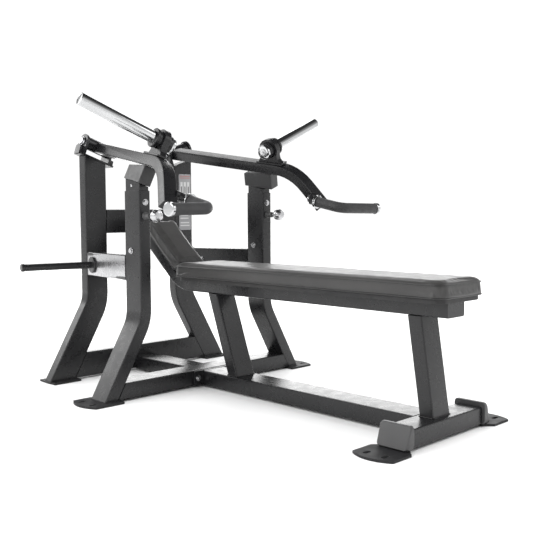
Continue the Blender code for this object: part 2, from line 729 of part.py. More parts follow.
def incline_parts():
    origin, along, up = incline_frame()
    ex = Vector((1.0, 0.0, 0.0))
    bm = bmesh.new()
    spec = [(0.052, 0.110, 0.006, GAP), (0.052, 0.110, 0.006, HEAD_BASE)]
    cushion(bm, spec, origin, ex, along, up)
    finish("head_bracket", bm, black_paint())
    bm = bmesh.new()
    base = HEAD_BASE + GAP
    spec = [(HEAD_HALF - inset, HEAD_HALF_LENGTH - inset, radius, base + height)
            for inset, radius, height in ((0.004, 0.020, 0.0), (0.0, 0.024, 0.005), (0.0, 0.024, HEAD_T - 0.015),
                                          (0.005, 0.020, HEAD_T - 0.005), (0.015, 0.012, HEAD_T))]
    cushion(bm, spec, origin, ex, along, up)
    finish("head_pad", bm, vinyl())


def placard():
    bm = bmesh.new()
    outline = rounded_rect(PLACARD_W, PLACARD_H, 0.006)
    y1 = REAR_Y - GAP
    ngon_rings(bm, [[Vector((PLACARD_X + a, y, PLACARD_Z + b)) for a, b in outline] for y in (y1 - PLACARD_T, y1)])
    return finish("placard", bm, placard_plate())


# ---------------------------------------------------------------- pivots
def joint_axis():
    return Vector((math.cos(TILT), 0.0, math.sin(TILT)))


def pivot_point(k, y, t):
    """Point in the pivot's own frame: k along the axle, t square to it."""
    normal = Vector((-math.sin(TILT), 0.0, math.cos(TILT)))
    return Vector((PIVOT.x, PIVOT.y + y, PIVOT.z)) + joint_axis() * k + normal * t


def pivot_block(bm, k0, k1, outline):
    """Plate square to the axle: outline points are (y, t)."""
    ring0 = [pivot_point(k0, y, t) for y, t in outline]
    ring1 = [pivot_point(k1, y, t) for y, t in outline]
    ngon_rings(bm, [ring0, ring1])


def ear_outline(base_t):
    pts = []
    for i in range(11):
        ang = math.radians(180.0 * i / 10)
        pts.append((EAR_R * math.cos(ang), EAR_R * math.sin(ang)))
    pts.append((-EAR_R, base_t))
    pts.append((EAR_R, base_t))
    return pts


def lug_outline(base_t, top_t):
    """Rounded gusset block seen along the axle."""
    half = 0.0185
    radius = 0.009
    pts = []
    for i in range(5):
        ang = math.radians(22.5 * i)
        pts.append((half - radius + radius * math.cos(ang), top_t - radius + radius * math.sin(ang)))
    for i in range(5):
        ang = math.radians(90.0 + 22.5 * i)
        pts.append((-half + radius + radius * math.cos(ang), top_t - radius + radius * math.sin(ang)))
    pts.append((-half, base_t))
    pts.append((half, base_t))
    return pts


def top_offset():
    point, normal = rear_top_plane()
    return (point - PIVOT).dot(normal)


def union(ob, tool):
    mod = ob.modifiers.new("join_" + tool.name, 'BOOLEAN')
    mod.operation = 'UNION'
    mod.solver = 'EXACT'
    mod.object = tool


def pivot_bracket(side, sx):
    """Clevis on the sloped top: base plate, two ears and two end gussets."""
    base = top_offset() + GAP
    bm = bmesh.new()
    half = 0.027
    pivot_block(bm, BASE_K0, BASE_K1, [(half, base), (half, base + 0.008), (-half, base + 0.008), (-half, base)])
    ob = finish("pivot_bracket_" + side, bm, black_paint(), sx)
    for tag, k0, k1 in (("a", EAR_K0, EAR_K1), ("b", INNER_EAR_K0, INNER_EAR_K1)):
        tool = bmesh.new()
        pivot_block(tool, k0, k1, ear_outline(base + 0.002))
        union(ob, cutter("ear_" + tag + "_" + side, mirror_bm(fix(tool), sx)))
    for tag, k0, k1, top in (("a", EAR_K1 - 0.002, LUG_K, -0.0195), ("b", -0.1700, INNER_EAR_K0 + 0.002, -0.0290)):
        tool = bmesh.new()
        pivot_block(tool, k0, k1, lug_outline(base + 0.002, top))
        union(ob, cutter("lug_" + tag + "_" + side, mirror_bm(fix(tool), sx)))
    bore = bmesh.new()
    turned(bore, pivot_point(-0.200, 0.0, 0.0), joint_axis(), [(0.0, AXLE_R + GAP), (0.240, AXLE_R + GAP)], 24)
    cut(ob, cutter("bore_" + side, mirror_bm(fix(bore), sx)))
    return ob


def fix(bm):
    bmesh.ops.recalc_face_normals(bm, faces=bm.faces[:])
    return bm


def pivot_axle(side, sx):
    """Axle bolt with a bright head and washer outside, nut inside."""
    bm = bmesh.new()
    inner = INNER_EAR_K0 - GAP
    outer = EAR_K1 + GAP
    turned(bm, PIVOT, joint_axis(),
           [(inner - 0.0170, 0.0110), (inner - 0.0155, 0.0130), (inner - 0.0035, 0.0130), (inner - 0.0030, 0.0175),
            (inner, 0.0175), (inner + 0.0001, AXLE_R), (outer - 0.0001, AXLE_R), (outer, 0.0190),
            (outer + 0.0045, 0.0190), (outer + 0.0048, 0.0150), (outer + 0.0105, 0.0150), (outer + 0.0120, 0.0130)],
           24)
    return finish("pivot_axle_" + side, bm, bright_steel(), sx)


# ---------------------------------------------------------------- lever arms
def arm_frame():
    """Unit vectors across the arm, forward along it, and up square to both."""
    flat = math.cos(ARM_FALL)
    forward = Vector((math.sin(ARM_TOE) * flat, -math.cos(ARM_TOE) * flat, -math.sin(ARM_FALL)))
    level = Vector((math.cos(ARM_TOE), math.sin(ARM_TOE), 0.0))
    square = level.cross(forward)
    if square.z < 0.0:
        square = -square
    axis = level * math.cos(ARM_ROLL) + square * math.sin(ARM_ROLL)
    up = square * math.cos(ARM_ROLL) - level * math.sin(ARM_ROLL)
    return axis, forward, up


def horn_point(k):
    return arm_point(k, HORN_S + HORN_SWEEP * k, HORN_T + HORN_LIFT * k)


def horn_axis():
    return (horn_point(1.0) - horn_point(0.0)).normalized()


def horn_station(k):
    """Distance along the horn from its k = 0 point."""
    return k * (horn_point(1.0) - horn_point(0.0)).length


def arm_point(k, s, t):
    axis, forward, up = arm_frame()
    return PIVOT + axis * k + forward * s + up * t


def arm_origin():
    """A point on the joint axis at the middle of the hub."""
    return PIVOT + joint_axis() * ((HUB_K0 + HUB_K1) / 2.0)


def arm_path():
    """Centre points and tangent angles (below the straight run) of the arm tube."""
    t_mid = (ARM_T0 + ARM_T1) / 2.0
    path = [(0.004, t_mid, 0.0)]
    steps = 6
    for i in range(steps + 1):
        ang = ARM_BEND * i / steps
        path.append((ARM_BEND_S + ARM_BEND_R * math.sin(ang), t_mid - ARM_BEND_R * (1.0 - math.cos(ang)), ang))
    s, t, ang = path[-1]
    path.append((s + ARM_TAIL * math.cos(ang), t - ARM_TAIL * math.sin(ang), ang))
    return path


def arm_tube(side, sx):
    axis, forward, up = arm_frame()
    profile = rounded_rect(ARM_K1 - ARM_K0, ARM_T1 - ARM_T0, 0.005)
    k_mid = (ARM_K0 + ARM_K1) / 2.0
    rings = []
    for s, t, ang in arm_path():
        across = up * math.cos(ang) + forward * math.sin(ang)
        rings.append(ring_at(profile, arm_point(k_mid, s, t), axis, across))
    bm = bmesh.new()
    ngon_rings(bm, rings)
    ob = finish("arm_tube_" + side, bm, black_paint(), sx, origin=arm_origin())
    tool = bmesh.new()
    turned(tool, PIVOT, joint_axis(), [(-0.20, HUB_R + GAP), (0.04, HUB_R + GAP)], 24)
    cut(ob, cutter("cope_" + side, mirror_bm(fix(tool), sx)))
    root, elbow = handle_points()[:2]
    seat = arm_point(BOSS_K + 0.010, BOSS_S, BOSS_T)
    boss = bmesh.new()
    turned(boss, arm_point(0.0, BOSS_S, BOSS_T), axis,
           [(BOSS_K, BOSS_R - 0.002), (BOSS_K + 0.002, BOSS_R), (ARM_K0 + 0.006, BOSS_R)], 20)
    union(ob, cutter("boss_" + side, mirror_bm(fix(boss), sx)))
    nose = (elbow - root).normalized()
    joint = root - nose * 0.014
    stub = bmesh.new()
    turned(stub, seat, joint - seat, [(0.004, STUB_R), ((joint - seat).length, STUB_R)], 20)
    union(ob, cutter("stub_root_" + side, mirror_bm(fix(stub), sx)))
    stub = bmesh.new()
    turned(stub, joint, nose, [(-0.012, STUB_R - 0.0004), (0.014, STUB_R - 0.0004)], 20)
    union(ob, cutter("stub_" + side, mirror_bm(fix(stub), sx)))
    return ob


def arm_hub(side, sx):
    bm = bmesh.new()
    sleeve(bm, PIVOT, joint_axis(), [(HUB_K0, HUB_R - 0.002), (HUB_K0 + 0.002, HUB_R),
                                                       (HUB_K1 - 0.002, HUB_R), (HUB_K1, HUB_R - 0.002)],
           AXLE_R + 0.0005, 24)
    return finish("arm_hub_" + side, bm, black_paint(), sx, origin=arm_origin())


def horn_bracket(side, sx):
    """Foot plate on the arm and a flared web up to the clamp ring of the horn."""
    base_t = ARM_T1 + GAP
    mid = (RING_K0 + RING_K1) / 2.0
    cs = HORN_S + HORN_SWEEP * mid
    ct = HORN_T + HORN_LIFT * mid
    outline = [(cs + 0.058, base_t + 0.006), (cs + 0.044, base_t + 0.022)]
    for i in range(13):
        ang = math.radians(-24.0 + 228.0 * i / 12)
        outline.append((cs + RING_R * math.cos(ang), ct + RING_R * math.sin(ang)))
    outline += [(cs - 0.044, base_t + 0.022), (cs - 0.054, base_t + 0.006), (cs - 0.054, base_t + 0.003),
                (cs + 0.058, base_t + 0.003)]
    bm = bmesh.new()
    ngon_rings(bm, [[arm_point(k, s, t) for s, t in outline] for k in (RING_K0, RING_K1)])
    ob = finish("horn_bracket_" + side, bm, black_paint(), sx, origin=arm_origin())
    foot = bmesh.new()
    plate = [(cs - 0.062, base_t), (cs + 0.064, base_t), (cs + 0.064, base_t + 0.007), (cs - 0.062, base_t + 0.007)]
    ngon_rings(foot, [[arm_point(k, s, t) for s, t in plate] for k in (ARM_K0 + 0.004, ARM_K1 - 0.004)])
    union(ob, cutter("bracket_foot_" + side, mirror_bm(fix(foot), sx)))
    seat = bmesh.new()
    turned(seat, horn_point(0.0), horn_axis(), [(-0.20, BARREL_R + GAP), (0.05, BARREL_R + GAP)], 24)
    cut(ob, cutter("seat_" + side, mirror_bm(fix(seat), sx)))
    return ob


def horn_barrel(side, sx):
    """Black bearing barrel with the plate stop flange at its outer end."""
    bm = bmesh.new()
    k0 = horn_station(BARREL_K0)
    k1 = horn_station(BARREL_K1)
    sleeve(bm, horn_point(0.0), horn_axis(),
           [(k0, BARREL_R - 0.002), (k0 + 0.002, BARREL_R), (k1 - 0.0115, BARREL_R), (k1 - 0.0110, 0.0375),
            (k1 - 0.0015, 0.0375), (k1, 0.0360)], 0.0128, 24)
    return finish("horn_barrel_" + side, bm, black_paint(), sx, origin=arm_origin())


def weight_horn(side, sx):
    """Chrome loading horn: sleeve, shaft through the barrel and inner end disc."""
    bm = bmesh.new()
    k0 = horn_station(HORN_CAP_K)
    k1 = horn_station(BARREL_K0) - GAP
    k2 = horn_station(BARREL_K1) + GAP
    k3 = horn_station(HORN_TIP_K)
    turned(bm, horn_point(0.0), horn_axis(),
           [(k0 + 0.003, 0.0040), (k0, 0.0045), (k0, 0.0285), (k0 + 0.0015, 0.0300), (k1 - 0.0015, 0.0300),
            (k1, 0.0285), (k1 + 0.0001, 0.0125), (k2 - 0.0001, 0.0125), (k2, HORN_R), (k3 - 0.003, HORN_R),
            (k3, HORN_R - 0.003)], 28)
    return finish("weight_horn_" + side, bm, chrome(), sx, origin=arm_origin())


# ---------------------------------------------------------------- handles
def handle_points():
    """Root, elbow and tip of the hand grip's centre line."""
    return arm_point(*HANDLE_ROOT), arm_point(*HANDLE_ELBOW), arm_point(*HANDLE_TIP)


def handle_path(steps=6):
    """Centres and tangents along root - elbow - tip with a rounded elbow."""
    root, elbow, tip = handle_points()
    d0 = (elbow - root).normalized()
    d1 = (tip - elbow).normalized()
    turn = d0.angle(d1)
    setback = HANDLE_BEND_R * math.tan(turn / 2.0)
    path = [(root, d0)]
    side = (d1 - d0 * d0.dot(d1)).normalized()
    centre = elbow - d0 * setback + side * HANDLE_BEND_R
    for i in range(steps + 1):
        ang = turn * i / steps
        p = centre + (d0 * math.sin(ang) - side * math.cos(ang)) * HANDLE_BEND_R
        path.append((p, d0 * math.cos(ang) + side * math.sin(ang)))
    path.append((tip, d1))
    return path, d0.cross(d1).normalized()


def round_rings(path, normal, radii, sides):
    rings = []
    for (p, tangent), radius in zip(path, radii):
        e2 = tangent.cross(normal).normalized()
        ring = []
        for i in range(sides):
            ang = 2.0 * math.pi * i / sides
            ring.append(p + (normal * math.cos(ang) + e2 * math.sin(ang)) * radius)
        rings.append(ring)
    return rings


def handle_bar(side, sx):
    """Chrome root collar, the bent bar inside the grip, and the end disc."""
    core, normal = handle_path()
    d0 = core[0][1]
    d1 = core[-1][1]
    root = core[0][0]
    tip = core[-1][0]
    head = [(root + d0 * 0.0005, d0), (root + d0 * 0.0020, d0), (root + d0 * 0.0110, d0),
            (root + d0 * 0.0120, d0), (root + d0 * 0.0121, d0)]
    tail = [(tip - d1 * 0.0001, d1), (tip, d1), (tip + d1 * 0.0020, d1), (tip + d1 * 0.0120, d1),
            (tip + d1 * 0.0140, d1)]
    path = head + core[1:-1] + tail
    radii = [COLLAR_R - 0.0015, COLLAR_R, COLLAR_R, COLLAR_R - 0.0015, CORE_R] + [CORE_R] * (len(core) - 2)
    radii += [CORE_R, END_DISC_R - 0.0015, END_DISC_R, END_DISC_R, END_DISC_R - 0.0040]
    bm = bmesh.new()
    ngon_rings(bm, round_rings(path, normal, radii, 20))
    return finish("handle_bar_" + side, bm, chrome(), sx, origin=arm_origin())


def handle_grip(side, sx):
    """Rubber sleeve around the bent bar."""
    core, normal = handle_path()
    d0 = core[0][1]
    d1 = core[-1][1]
    root = core[0][0]
    tip = core[-1][0]
    start = [(root + d0 * 0.0125, d0), (root + d0 * 0.0135, d0)]
    end = [(tip - d1 * 0.0014, d1), (tip - d1 * 0.0004, d1)]
    path = start + core[1:-1] + end
    outer = [GRIP_R - 0.0010] + [GRIP_R] * (len(path) - 2) + [GRIP_R - 0.0010]
    inner = [CORE_R + 0.0004] * len(path)
    outer_rings = round_rings(path, normal, outer, GRIP_SIDES)
    inner_rings = round_rings(path, normal, inner, GRIP_SIDES)
    rings = outer_rings + list(reversed(inner_rings))
    bm = bmesh.new()
    loops = []
    for ring in rings:
        loops.append([bm.verts.new(p) for p in ring])
    loops.append(loops[0])
    for a, b in zip(loops[:-1], loops[1:]):
        for i in range(GRIP_SIDES):
            j = (i + 1) % GRIP_SIDES
            bm.faces.new((a[i], a[j], b[j], b[i]))
    return finish("handle_grip_" + side, bm, rubber(), sx, origin=arm_origin())


# ---------------------------------------------------------------- start-height stops
def stop_post(side, sx):
    """Post that telescopes in the front upright, with the pin slot in its front."""
    x_mid = front_x_mid()
    y_mid = FRONT_DEPTH / 2.0
    width = FRONT_OUT - FRONT_IN - 2.0 * WALL - 0.002
    depth = FRONT_DEPTH - 2.0 * WALL - 0.002
    profile = rounded_rect(width, depth, 0.003)
    bm = bmesh.new()
    top = 0.800
    start = Vector((x_mid, y_mid, FRONT_TOP - POST_DEPTH))
    end = Vector((x_mid, y_mid, top))
    up = arm_frame()[2]
    roof = (arm_point(0.0, 0.0, SADDLE_T0 - GAP), up)
    straight_tube(bm, profile, start, end, Vector((1.0, 0.0, 0.0)), Vector((0.0, 1.0, 0.0)), None, roof)
    origin = Vector((x_mid, y_mid, FRONT_TOP))
    ob = finish("stop_post_" + side, bm, black_paint(), sx, origin=origin)
    tool = bmesh.new()
    half = 0.0062
    add_box(tool, PIN_X - half, PIN_X + half, -0.010, 0.030, PIN_Z - half, PIN_Z + half + STOP_DROP + 0.001)
    cut(ob, cutter("pin_slot_" + side, mirror_bm(fix(tool), sx)))
    return ob


def saddle_top(s):
    """Underside clearance of the arm: the front edge carries it, the rear stays low."""
    share = (SADDLE_S1 - s) / (SADDLE_S1 - SADDLE_S0)
    return ARM_T0 - GAP - SADDLE_WEDGE * share


def stop_saddle(side, sx):
    """Rubber block on the post; the arm rests on the front edge of its top."""
    bm = bmesh.new()
    mid_k = (SADDLE_K0 + SADDLE_K1) / 2.0
    mid_s = (SADDLE_S0 + SADDLE_S1) / 2.0
    rings = []
    for shrink, level in ((0.001, 0.0), (0.0, 0.002), (0.0, -0.002), (0.002, 0.0)):
        profile = rounded_rect(SADDLE_K1 - SADDLE_K0 - 2.0 * shrink, SADDLE_S1 - SADDLE_S0 - 2.0 * shrink,
                               0.005 - shrink)
        ring = []
        for dk, ds in profile:
            s = mid_s + ds
            t = SADDLE_T0 + level if len(rings) < 2 else saddle_top(s) + level
            ring.append(arm_point(mid_k + dk, s, t))
        rings.append(ring)
    ngon_rings(bm, rings)
    origin = Vector((front_x_mid(), FRONT_DEPTH / 2.0, FRONT_TOP))
    return finish("stop_saddle_" + side, bm, rubber(), sx, origin=origin)


def pull_pin(side, sx):
    """Spring pull pin: polished knob, shaft and tip through the upright's wall."""
    bm = bmesh.new()
    origin = Vector((PIN_X, 0.0, PIN_Z))
    out = Vector((0.0, -1.0, 0.0))
    turned(bm, origin, out, [(-0.018, 0.0035), (-0.015, 0.0050), (0.0480, 0.0050), (0.0500, 0.0090),
                             (0.0550, KNOB_R - 0.0060), (0.0620, KNOB_R - 0.0012), (0.0720, KNOB_R),
                             (0.0800, KNOB_R - 0.0018), (0.0860, KNOB_R - 0.0070), (0.0880, 0.0100)], 24)
    return finish("pull_pin_" + side, bm, bright_steel(), sx, origin=origin)


def pin_housing(side, sx):
    """Threaded guide of the pull pin, screwed to the upright's front face."""
    bm = bmesh.new()
    sleeve(bm, Vector((PIN_X, -GAP, PIN_Z)), Vector((0.0, -1.0, 0.0)),
           [(0.0, 0.0150), (0.0060, 0.0150), (0.0065, 0.0115), (0.0300, 0.0115), (0.0315, 0.0100)], 0.0056, 20)
    return finish("pin_housing_" + side, bm, black_plastic(), sx)


# ---------------------------------------------------------------- fasteners
def brace_bolt(side, sx):
    """Through bolt of the front upright: head outside, nut inside."""
    bm = bmesh.new()
    width = FRONT_OUT - FRONT_IN
    outer = Vector((FRONT_OUT + GAP, BRACE_BOLT_Y, BRACE_BOLT_Z))
    back = -width - 2.0 * GAP
    turned(bm, outer, Vector((1.0, 0.0, 0.0)),
           [(back - 0.0090, 0.0075), (back - 0.0080, 0.0090), (back - 0.0021, 0.0090), (back - 0.0020, 0.0120),
            (back, 0.0120), (back + 0.0001, 0.0055), (-0.0001, 0.0055), (0.0, 0.0120), (0.0020, 0.0120),
            (0.0021, 0.0090), (0.0070, 0.0090), (0.0082, 0.0075)], 12)
    return finish("brace_bolt_" + side, bm, bright_steel(), sx)


def centre_on_footprint():
    """Move the origin to the middle of the footprint, on the floor."""
    middle = (PAD_Y0 + REAR_FOOT_Y) / 2.0
    for ob in bpy.data.objects:
        ob.location.y -= middle


def build():
    for ob in list(bpy.data.objects):
        bpy.data.objects.remove(ob, do_unlink=True)
    front_crosstube()
    rear_crosstube()
    upper_crosstube()
    base_beams()
    foot_crossmember()
    bench_tube()
    bench_posts()
    bench_board()
    bench_pad()
    incline_parts()
    placard()
    for side, sx in SIDES:
        front_upright(side, sx)
        rear_upright(side, sx)
        side_brace(side, sx)
        storage_peg(side, sx)
        foot_plates(side, sx)
        foot_end_cap(side, sx)
        pivot_bracket(side, sx)
        pivot_axle(side, sx)
        arm_tube(side, sx)
        arm_hub(side, sx)
        horn_bracket(side, sx)
        horn_barrel(side, sx)
        weight_horn(side, sx)
        handle_bar(side, sx)
        handle_grip(side, sx)
        stop_post(side, sx)
        stop_saddle(side, sx)
        pull_pin(side, sx)
        pin_housing(side, sx)
        brace_bolt(side, sx)
        flange_bolt(side, sx)
    centre_on_footprint()


build()
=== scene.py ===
import json
import math

import bmesh
import bpy
from mathutils import Matrix, Vector
from mathutils.bvhtree import BVHTree


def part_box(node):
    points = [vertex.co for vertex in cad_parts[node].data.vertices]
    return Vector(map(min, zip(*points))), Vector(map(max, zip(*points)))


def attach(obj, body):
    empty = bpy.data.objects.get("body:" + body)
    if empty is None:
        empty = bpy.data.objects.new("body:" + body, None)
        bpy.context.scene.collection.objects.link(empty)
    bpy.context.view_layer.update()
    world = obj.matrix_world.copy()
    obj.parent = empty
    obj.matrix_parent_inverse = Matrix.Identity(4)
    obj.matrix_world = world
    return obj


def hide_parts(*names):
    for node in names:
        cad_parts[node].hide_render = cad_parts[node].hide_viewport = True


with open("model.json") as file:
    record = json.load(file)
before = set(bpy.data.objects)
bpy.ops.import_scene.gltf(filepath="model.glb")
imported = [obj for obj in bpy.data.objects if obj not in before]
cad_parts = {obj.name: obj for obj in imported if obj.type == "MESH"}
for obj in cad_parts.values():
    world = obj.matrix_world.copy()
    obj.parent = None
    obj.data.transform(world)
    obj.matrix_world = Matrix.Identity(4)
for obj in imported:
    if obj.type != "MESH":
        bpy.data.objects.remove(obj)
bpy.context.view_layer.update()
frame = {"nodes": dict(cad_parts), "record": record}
NODES = frame["nodes"]
SIDES = (("left", -1), ("right", 1))

# ---------------------------------------------------------------- materials


class Tree:
    """A small helper that adds nodes to one material and links them."""

    def __init__(self, name):
        self.material = bpy.data.materials.new(name)
        self.material.use_nodes = True
        self.tree = self.material.node_tree
        self.shader = self.tree.nodes["Principled BSDF"]
        self.coords = self.tree.nodes.new("ShaderNodeTexCoord").outputs["Object"]

    def link(self, out, into):
        self.tree.links.new(out, into)

    def noise(self, scale, detail=3.0, rough=0.55, stretch=None):
        """A noise field of that many cycles to the metre."""
        node = self.tree.nodes.new("ShaderNodeTexNoise")
        node.inputs["Scale"].default_value = scale
        node.inputs["Detail"].default_value = detail
        node.inputs["Roughness"].default_value = rough
        source = self.coords
        if stretch:
            mapping = self.tree.nodes.new("ShaderNodeMapping")
            mapping.inputs["Scale"].default_value = stretch
            self.link(self.coords, mapping.inputs["Vector"])
            source = mapping.outputs["Vector"]
        self.link(source, node.inputs["Vector"])
        return node.outputs["Fac"]

    def cells(self, scale):
        """The rounded cells of a leather grain."""
        node = self.tree.nodes.new("ShaderNodeTexVoronoi")
        node.feature = "SMOOTH_F1"
        node.inputs["Scale"].default_value = scale
        self.link(self.coords, node.inputs["Vector"])
        return node.outputs["Distance"]

    def remap(self, value, low, high, start=0.3, end=0.7):
        node = self.tree.nodes.new("ShaderNodeMapRange")
        node.inputs["From Min"].default_value = start
        node.inputs["From Max"].default_value = end
        node.inputs["To Min"].default_value = low
        node.inputs["To Max"].default_value = high
        self.link(value, node.inputs["Value"])
        return node.outputs["Result"]

    def colours(self, value, dark, light):
        node = self.tree.nodes.new("ShaderNodeValToRGB")
        node.color_ramp.elements[0].position = 0.3
        node.color_ramp.elements[1].position = 0.7
        node.color_ramp.elements[0].color = (*dark, 1)
        node.color_ramp.elements[1].color = (*light, 1)
        self.link(value, node.inputs["Fac"])
        self.link(node.outputs["Color"], self.shader.inputs["Base Color"])

    def bump(self, value, strength, distance, under=None):
        node = self.tree.nodes.new("ShaderNodeBump")
        node.inputs["Strength"].default_value = strength
        node.inputs["Distance"].default_value = distance
        self.link(value, node.inputs["Height"])
        if under:
            self.link(under, node.inputs["Normal"])
        self.link(node.outputs["Normal"], self.shader.inputs["Normal"])
        return node.outputs["Normal"]

    def set(self, **values):
        for key, value in values.items():
            self.shader.inputs[key.replace("_", " ")].default_value = value


def coating(name, dark, light, rough, metallic, grain, grain_depth, broad=5.0, specular=0.5):
    """A finish whose tone and gloss drift slowly, over a fine surface texture."""
    tree = Tree(name)
    drift = tree.noise(broad, 4.0)
    tree.colours(drift, dark, light)
    fine = tree.noise(grain, 2.0)
    gloss = tree.remap(tree.noise(broad * 6, 3.0), *rough)
    tree.link(gloss, tree.shader.inputs["Roughness"])
    tree.bump(fine, grain_depth, 0.0004)
    tree.set(Metallic=metallic, Coat_Weight=0.0, Specular_IOR_Level=specular)
    return tree


# Each row: shader name, dark and light tone, roughness range, metallic, grain per metre, grain depth, extras.
COATINGS = {
    "black_paint": (
        "powder_coat_black",
        (0.008, 0.008, 0.009),
        (0.013, 0.013, 0.014),
        (0.24, 0.33),
        0.0,
        750,
        0.035,
        {"specular": 0.45},
    ),
    "wear_plate": (
        "wear_plate",
        (0.42, 0.42, 0.43),
        (0.50, 0.50, 0.51),
        (0.24, 0.32),
        1.0,
        500,
        0.01,
        {"broad": 8},
    ),
    "plate_paint": (
        "powder_coat_worn",
        (0.014, 0.014, 0.015),
        (0.026, 0.026, 0.027),
        (0.50, 0.62),
        0.0,
        600,
        0.10,
        {"specular": 0.25},
    ),
    "chrome": ("chrome_plate", (0.50, 0.505, 0.51), (0.58, 0.585, 0.59), (0.07, 0.11), 1.0, 40, 0.0, {}),
    "bright_steel": (
        "bright_steel",
        (0.42, 0.42, 0.43),
        (0.58, 0.58, 0.59),
        (0.14, 0.26),
        1.0,
        900,
        0.05,
        {"broad": 40},
    ),
    "stop_rubber": (
        "moulded_rubber",
        (0.030, 0.030, 0.031),
        (0.046, 0.046, 0.047),
        (0.38, 0.50),
        0,
        600,
        0.3,
        {},
    ),
    "grip_rubber": (
        "sleeve_rubber",
        (0.026, 0.026, 0.027),
        (0.042, 0.042, 0.043),
        (0.50, 0.64),
        0,
        1300,
        0.5,
        {},
    ),
    "black_plastic": (
        "moulded_plastic",
        (0.060, 0.060, 0.061),
        (0.078, 0.078, 0.079),
        (0.38, 0.48),
        0,
        1500,
        0.2,
        {},
    ),
    "pad_board": (
        "stained_plywood",
        (0.010, 0.010, 0.011),
        (0.022, 0.021, 0.021),
        (0.5, 0.65),
        0,
        300,
        0.3,
        {},
    ),
    "piping": ("piping_vinyl", (0.016, 0.016, 0.016), (0.028, 0.027, 0.027), (0.34, 0.44), 0, 900, 0.2, {}),
    "placard": ("placard_plate", (0.30, 0.30, 0.31), (0.36, 0.36, 0.37), (0.30, 0.40), 0.0, 500, 0.05, {}),
    "print_pale": ("print_pale", (0.62, 0.62, 0.62), (0.70, 0.70, 0.70), (0.35, 0.45), 0.0, 500, 0.05, {}),
    "print_red": ("print_red", (0.36, 0.16, 0.16), (0.42, 0.20, 0.19), (0.35, 0.45), 0.0, 500, 0.05, {}),
    "print_dark": ("print_dark", (0.03, 0.03, 0.032), (0.05, 0.05, 0.052), (0.35, 0.45), 0.0, 500, 0.05, {}),
}


def grained_vinyl():
    """Black upholstery: soft unevenness under a fine leather grain, with a slight sheen."""
    vinyl = Tree("grained_vinyl")
    vinyl.colours(vinyl.noise(7, 4.0), (0.024, 0.023, 0.023), (0.036, 0.035, 0.034))
    vinyl.link(vinyl.remap(vinyl.noise(30, 4.0), 0.36, 0.46), vinyl.shader.inputs["Roughness"])
    soft = vinyl.bump(vinyl.noise(22, 3.0), 0.16, 0.004)
    vinyl.bump(vinyl.cells(620), 0.30, 0.0004, under=soft)
    vinyl.set(Metallic=0.0, Sheen_Weight=0.10, Sheen_Roughness=0.5, Specular_IOR_Level=0.55)
    return vinyl


def make_materials():
    made = {key: coating(*row[:-1], **row[-1]) for key, row in COATINGS.items()}
    wear = made["wear_plate"]
    wear.bump(wear.noise(260, 3.0, stretch=(1, 0.02, 1)), 0.03, 0.0003)
    board = made["pad_board"]
    board.bump(board.noise(60, 4.0, stretch=(1, 0.06, 9)), 0.4, 0.0005)
    made["pad_vinyl"] = grained_vinyl()
    return {key: tree.material for key, tree in made.items()}


MATERIALS = make_materials()
SLOT_OF = {part["node"]: part["material_slot"] for part in frame["record"]["subparts"]}

# ---------------------------------------------------------------- edges of the hard parts


CREASE_ANGLE = math.radians(32)
BEVEL_ANGLE = math.radians(38)
PIECE_CREASE_ANGLE = math.radians(34)
JOIN_DISTANCE = 0.00001
EDGE_RADIUS = 0.0011
SOFT_NODES = ("bench_pad", "head_pad")


def smoothing_group():
    """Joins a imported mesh's split corners and shades it smooth up to a crease angle."""
    group = bpy.data.node_groups.new("shade_by_angle", "GeometryNodeTree")
    group.interface.new_socket("Geometry", in_out="INPUT", socket_type="NodeSocketGeometry")
    group.interface.new_socket("Geometry", in_out="OUTPUT", socket_type="NodeSocketGeometry")
    start = group.nodes.new("NodeGroupInput")
    end = group.nodes.new("NodeGroupOutput")
    merge = group.nodes.new("GeometryNodeMergeByDistance")
    merge.inputs["Distance"].default_value = JOIN_DISTANCE
    drop = group.nodes.new("GeometryNodeRemoveAttribute")
    drop.inputs["Name"].default_value = "custom_normal"
    faces = group.nodes.new("GeometryNodeSetShadeSmooth")
    angle = group.nodes.new("GeometryNodeInputMeshEdgeAngle")
    compare = group.nodes.new("FunctionNodeCompare")
    compare.data_type = "FLOAT"
    compare.operation = "GREATER_THAN"
    compare.inputs[1].default_value = CREASE_ANGLE
    edges = group.nodes.new("GeometryNodeSetShadeSmooth")
    edges.domain = "EDGE"
    edges.inputs["Shade Smooth"].default_value = False
    chain = [start, merge, drop, faces, edges, end]
    for a, b in zip(chain, chain[1:]):
        group.links.new(a.outputs["Geometry"], b.inputs["Geometry"])
    group.links.new(angle.outputs["Unsigned Angle"], compare.inputs[0])
    group.links.new(compare.outputs[0], edges.inputs["Selection"])
    return group


SMOOTHING = smoothing_group()

def finish_nodes():
    for name, node in NODES.items():
        node.data.materials.clear()
        key = "plate_paint" if "_foot_" in name else SLOT_OF[name]
        node.data.materials.append(MATERIALS[key])
        if name in SOFT_NODES:
            continue
        shade = node.modifiers.new("shade", "NODES")
        shade.node_group = SMOOTHING
        bevel = node.modifiers.new("edges", "BEVEL")
        bevel.width = EDGE_RADIUS
        bevel.segments = 2
        bevel.limit_method = "ANGLE"
        bevel.angle_limit = BEVEL_ANGLE
        bevel.use_clamp_overlap = True
        normals = node.modifiers.new("normals", "WEIGHTED_NORMAL")
        normals.mode = "FACE_AREA_WITH_ANGLE"
        normals.keep_sharp = True


finish_nodes()

# ---------------------------------------------------------------- making pieces


